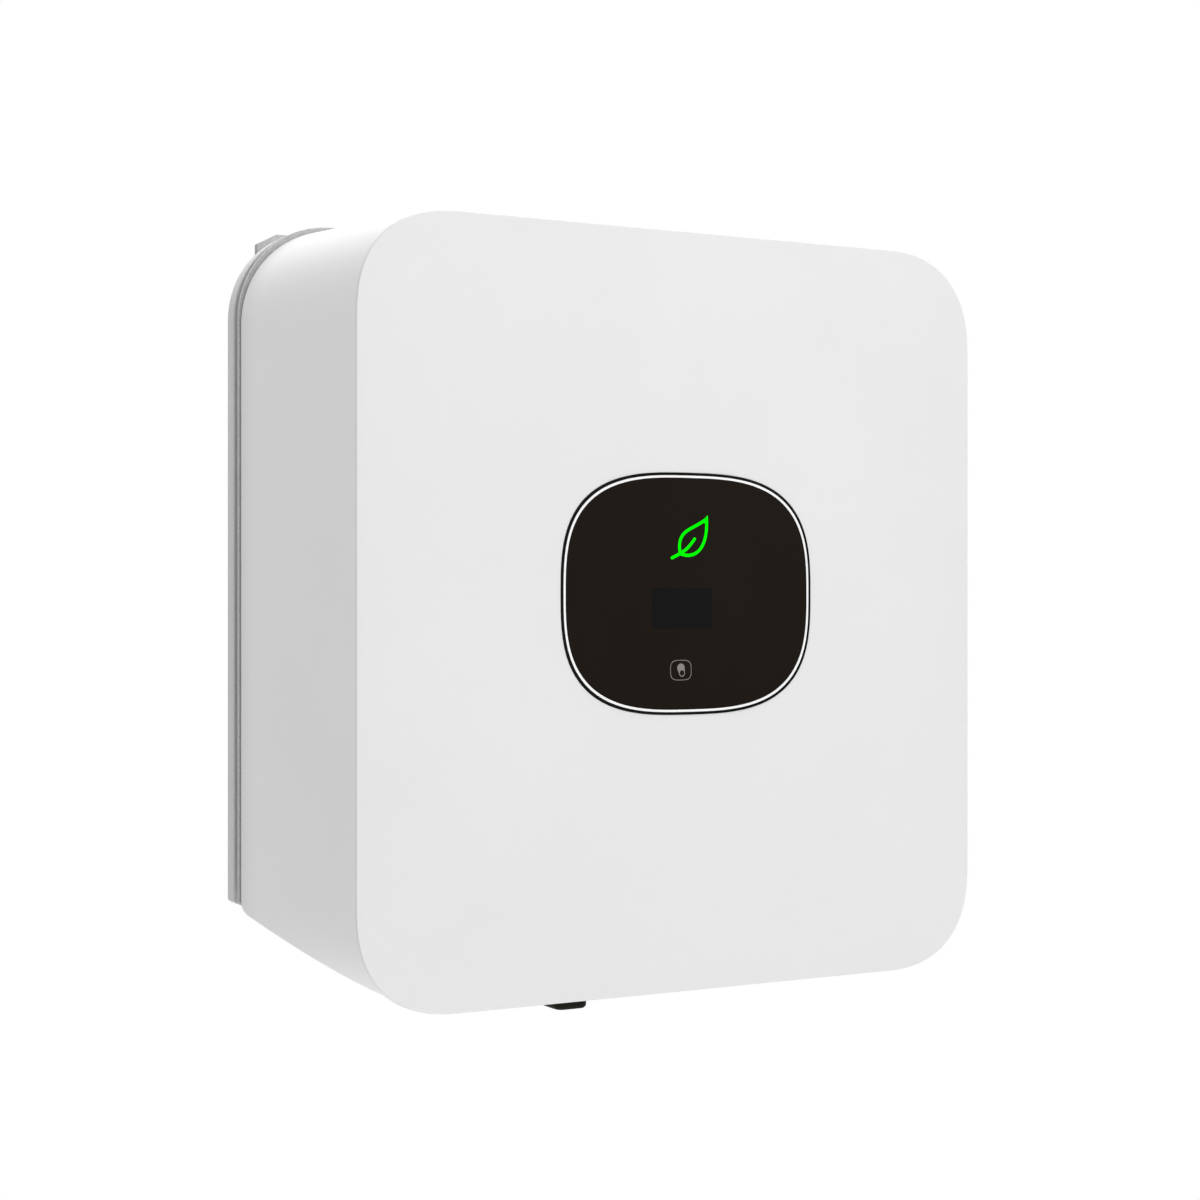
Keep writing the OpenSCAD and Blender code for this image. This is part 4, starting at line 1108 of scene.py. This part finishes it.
def makePort():
    s = port
    tip = lengthBelow("data_port")
    collar, top, tube, soft = s["collar"], s["collarH"], s["tube"], s["soft"]
    ribs = (s["ribs"], s["ribDepth"])
    profile = [
        (tube, -s["stemH"]), (tube, 0), (collar - soft, 0), (collar, soft), (collar, s["plainEnd"]),
        (collar, s["ribEnd"], ribs), (collar, top - s["ribEnd"], ribs),
        (collar, top - s["plainEnd"]), (collar, top - soft), (collar - soft, top),
        (tube, top), (tube, tip - soft), (tube - soft, tip),
        (s["bore"] + s["boreIn"], tip), (s["bore"], tip - s["boreSoft"]), (s["bore"], s["boreTop"]),
    ]
    addTurned("data_port", profile, below("data_port"), s["count"])


def makeCap():
    s = cap
    radius, soft, bore = s["radius"], s["soft"], s["bore"]
    length = heightOf("port_cap")
    shoulder = length - s["dome"]
    ribs = (s["ribs"], s["ribDepth"])
    profile = [
        (bore, s["boreDepth"]), (bore, s["boreSoft"]), (bore + s["boreSoft"], 0),
        (radius - soft, 0), (radius, soft), (radius, s["band"]),
        (radius, s["band"] + s["ribFade"], ribs), (radius, shoulder - s["ribEnd"], ribs),
        (radius, shoulder - s["plainEnd"]), (radius, shoulder),
    ]
    for i in range(1, s["domeSteps"] + 1):
        angle = math.radians(s["domeTurn"] * i / s["domeSteps"])
        profile.append((radius * math.cos(angle), length - s["dome"] * (1 - math.sin(angle))))
    addTurned("port_cap", profile, hungFrom("port_cap"), s["count"], "capRubber", "cap")


makePort()
makeCap()

# Breather: six-sided body with a vented dome
breather = dict(
    stem=3, stemH=9,
    body=6.9, bodyH=3.4, sides=6, foot=0.4, slope=0.5,
    dome=5, domeFoot=0.3, slots=8, slotDepth=0.9, slotFrom=3.7, slotTo=5.1, slotEnd=5.3,
    domeEdge=((0.5, 0.2), (1.2, 0)),  # inward and up to the dome's end
    height=6,
    count=144,
)


def makeBreather():
    s = breather
    body, dome, sides = s["body"], s["dome"], s["sides"]
    slots = (s["slots"], s["slotDepth"])
    profile = [
        (s["stem"], -s["stemH"]), (s["stem"], 0),
        (body - s["foot"], 0, sides), (body, s["foot"], sides),
        (body, s["bodyH"] - s["slope"], sides), (body - s["slope"], s["bodyH"], sides),
        (dome + s["domeFoot"], s["bodyH"]), (dome, s["slotFrom"], slots),
        (dome, s["slotTo"], slots), (dome, s["slotEnd"]),
    ]
    profile += [(dome - inward, s["height"] - up) for inward, up in s["domeEdge"]]
    addTurned("breather", profile, below("breather"), s["count"])


makeBreather()

# Grid socket: square flange, ringed barrel, keyed mouth and a contact insert
gridSocket = dict(
    stem=12, stemH=13,
    flange=20, flangeH=5, flangeCorner=4, flangeFoot=0.4,
    flangeEdge=((0, 1), (0.3, 0.3), (1, 0)),  # inward and up to the flange's face
    barrel=16.5, fillet=0.8, ridges=3, ridgeFrom=6, ridgePitch=3.2, ridgeDepth=0.7,
    ridgeSteps=(0.6, 1.4, 2), mouth=0.8,
    bore=13.5, boreDepth=18, boreSoft=0.6,
    keys=3, keyDepth=0.9, keyShare=0.9, keyFrom=2, keyFade=0.4,  # a larger share is a narrower key
    well=10.5, wellTop=7, wellSoft=0.4,
)


def makeGridSocket():
    s = gridSocket
    tip = lengthBelow("grid_socket")
    place = below("grid_socket")
    square = roundedLoop(1, 1, s["flangeCorner"] / s["flange"], perCorner=12, perSide=12)
    angles = [math.atan2(p.y, p.x) for p in square]

    def flangeRing(inset, height):
        return atHeight([p * (s["flange"] - inset) for p in square], height, place)

    def roundRing(radius, height, key=0):
        ring = []
        for angle in angles:
            reach = radius - (key if math.cos(angle * s["keys"]) > s["keyShare"] else 0)
            ring.append(Vector((reach * math.cos(angle), reach * math.sin(angle))))
        return atHeight(ring, height, place)

    barrel, bore, well, face = s["barrel"], s["bore"], s["well"], s["flangeH"]
    boreTop = tip - s["boreDepth"]
    rings = [roundRing(s["stem"], -s["stemH"]), roundRing(s["stem"], 0),
             flangeRing(s["flangeFoot"], 0), flangeRing(0, s["flangeFoot"])]
    rings += [flangeRing(inward, face - up) for inward, up in s["flangeEdge"]]
    rings += [roundRing(barrel + s["fillet"], face), roundRing(barrel, face + s["fillet"])]
    for i in range(s["ridges"]):
        height = face + s["ridgeFrom"] + i * s["ridgePitch"]
        start, end, out = s["ridgeSteps"]
        root = barrel - s["ridgeDepth"]
        rings += [roundRing(barrel, height), roundRing(root, height + start),
                  roundRing(root, height + end), roundRing(barrel, height + out)]
    rings += [
        roundRing(barrel, tip - s["mouth"]), roundRing(barrel - s["mouth"], tip),
        roundRing(bore + s["boreSoft"], tip), roundRing(bore, tip - s["boreSoft"]),
        roundRing(bore, tip - s["keyFrom"]),
        roundRing(bore, tip - s["keyFrom"] - s["keyFade"], s["keyDepth"]),
        roundRing(bore, boreTop, s["keyDepth"]),
        roundRing(well + s["wellSoft"], boreTop), roundRing(well, boreTop - s["wellSoft"]),
        roundRing(well, s["wellTop"]),
    ]
    bm = bmesh.new()
    loft(bm, rings, True, True)
    addPiece("grid_socket_turned", bm, finish["mouldedBlack"], "inverter", ["grid_socket"])


makeGridSocket()

# Earth washer: toothed brass ring
earthWasher = dict(radius=6, hole=2.6, teeth=18, toothDepth=0.5, soft=0.15, count=144)


def makeEarthWasher():
    s = earthWasher
    radius, soft = s["radius"], s["soft"]
    thick = heightOf("earth_washer")
    teeth = (s["teeth"], s["toothDepth"])
    profile = [
        (s["hole"], 0), (radius - soft, 0, teeth), (radius, soft, teeth),
        (radius, thick - soft, teeth), (radius - soft, thick, teeth), (s["hole"], thick),
    ]
    bm = bmesh.new()
    closedLoft(bm, turnedRings(profile, below("earth_washer"), s["count"]))
    addPiece("earth_washer_cut", bm, finish["contactBrass"], "inverter", ["earth_washer"])


makeEarthWasher()
print("underside made")

# Inner nodes stay as they are, under their own finish
innerFinish = dict(
    boardGreen="display_board power_board control_card",
    screenDark="screen_module",
    screwSteel="display_screws frame_screws plate_screws board_screws clamp_screws switch_shaft",
    mouldedBlack="switch_body pv_nuts transistors grid_relays current_sensor",
    contactBrass="pv_contacts grid_contacts",
    postNickel="board_posts",
    zincSteel="clamp_bar",
    canSleeve="bus_capacitors",
    copperWire="boost_choke filter_chokes noise_choke",
    filmYellow="film_capacitors",
    tapeAmber="supply_transformer",
    terminalGreen="dc_terminals ac_terminals",
    padBlue="thermal_pads",
    jacketRed="dc_leads",
    jacketBrown="ac_leads",
    ribbonGrey="ribbon",
)
for finishName, members in innerFinish.items():
    for nodeName in members.split():
        cadNodes[nodeName].data.materials.clear()
        cadNodes[nodeName].data.materials.append(finish[finishName])
print("inner nodes finished")
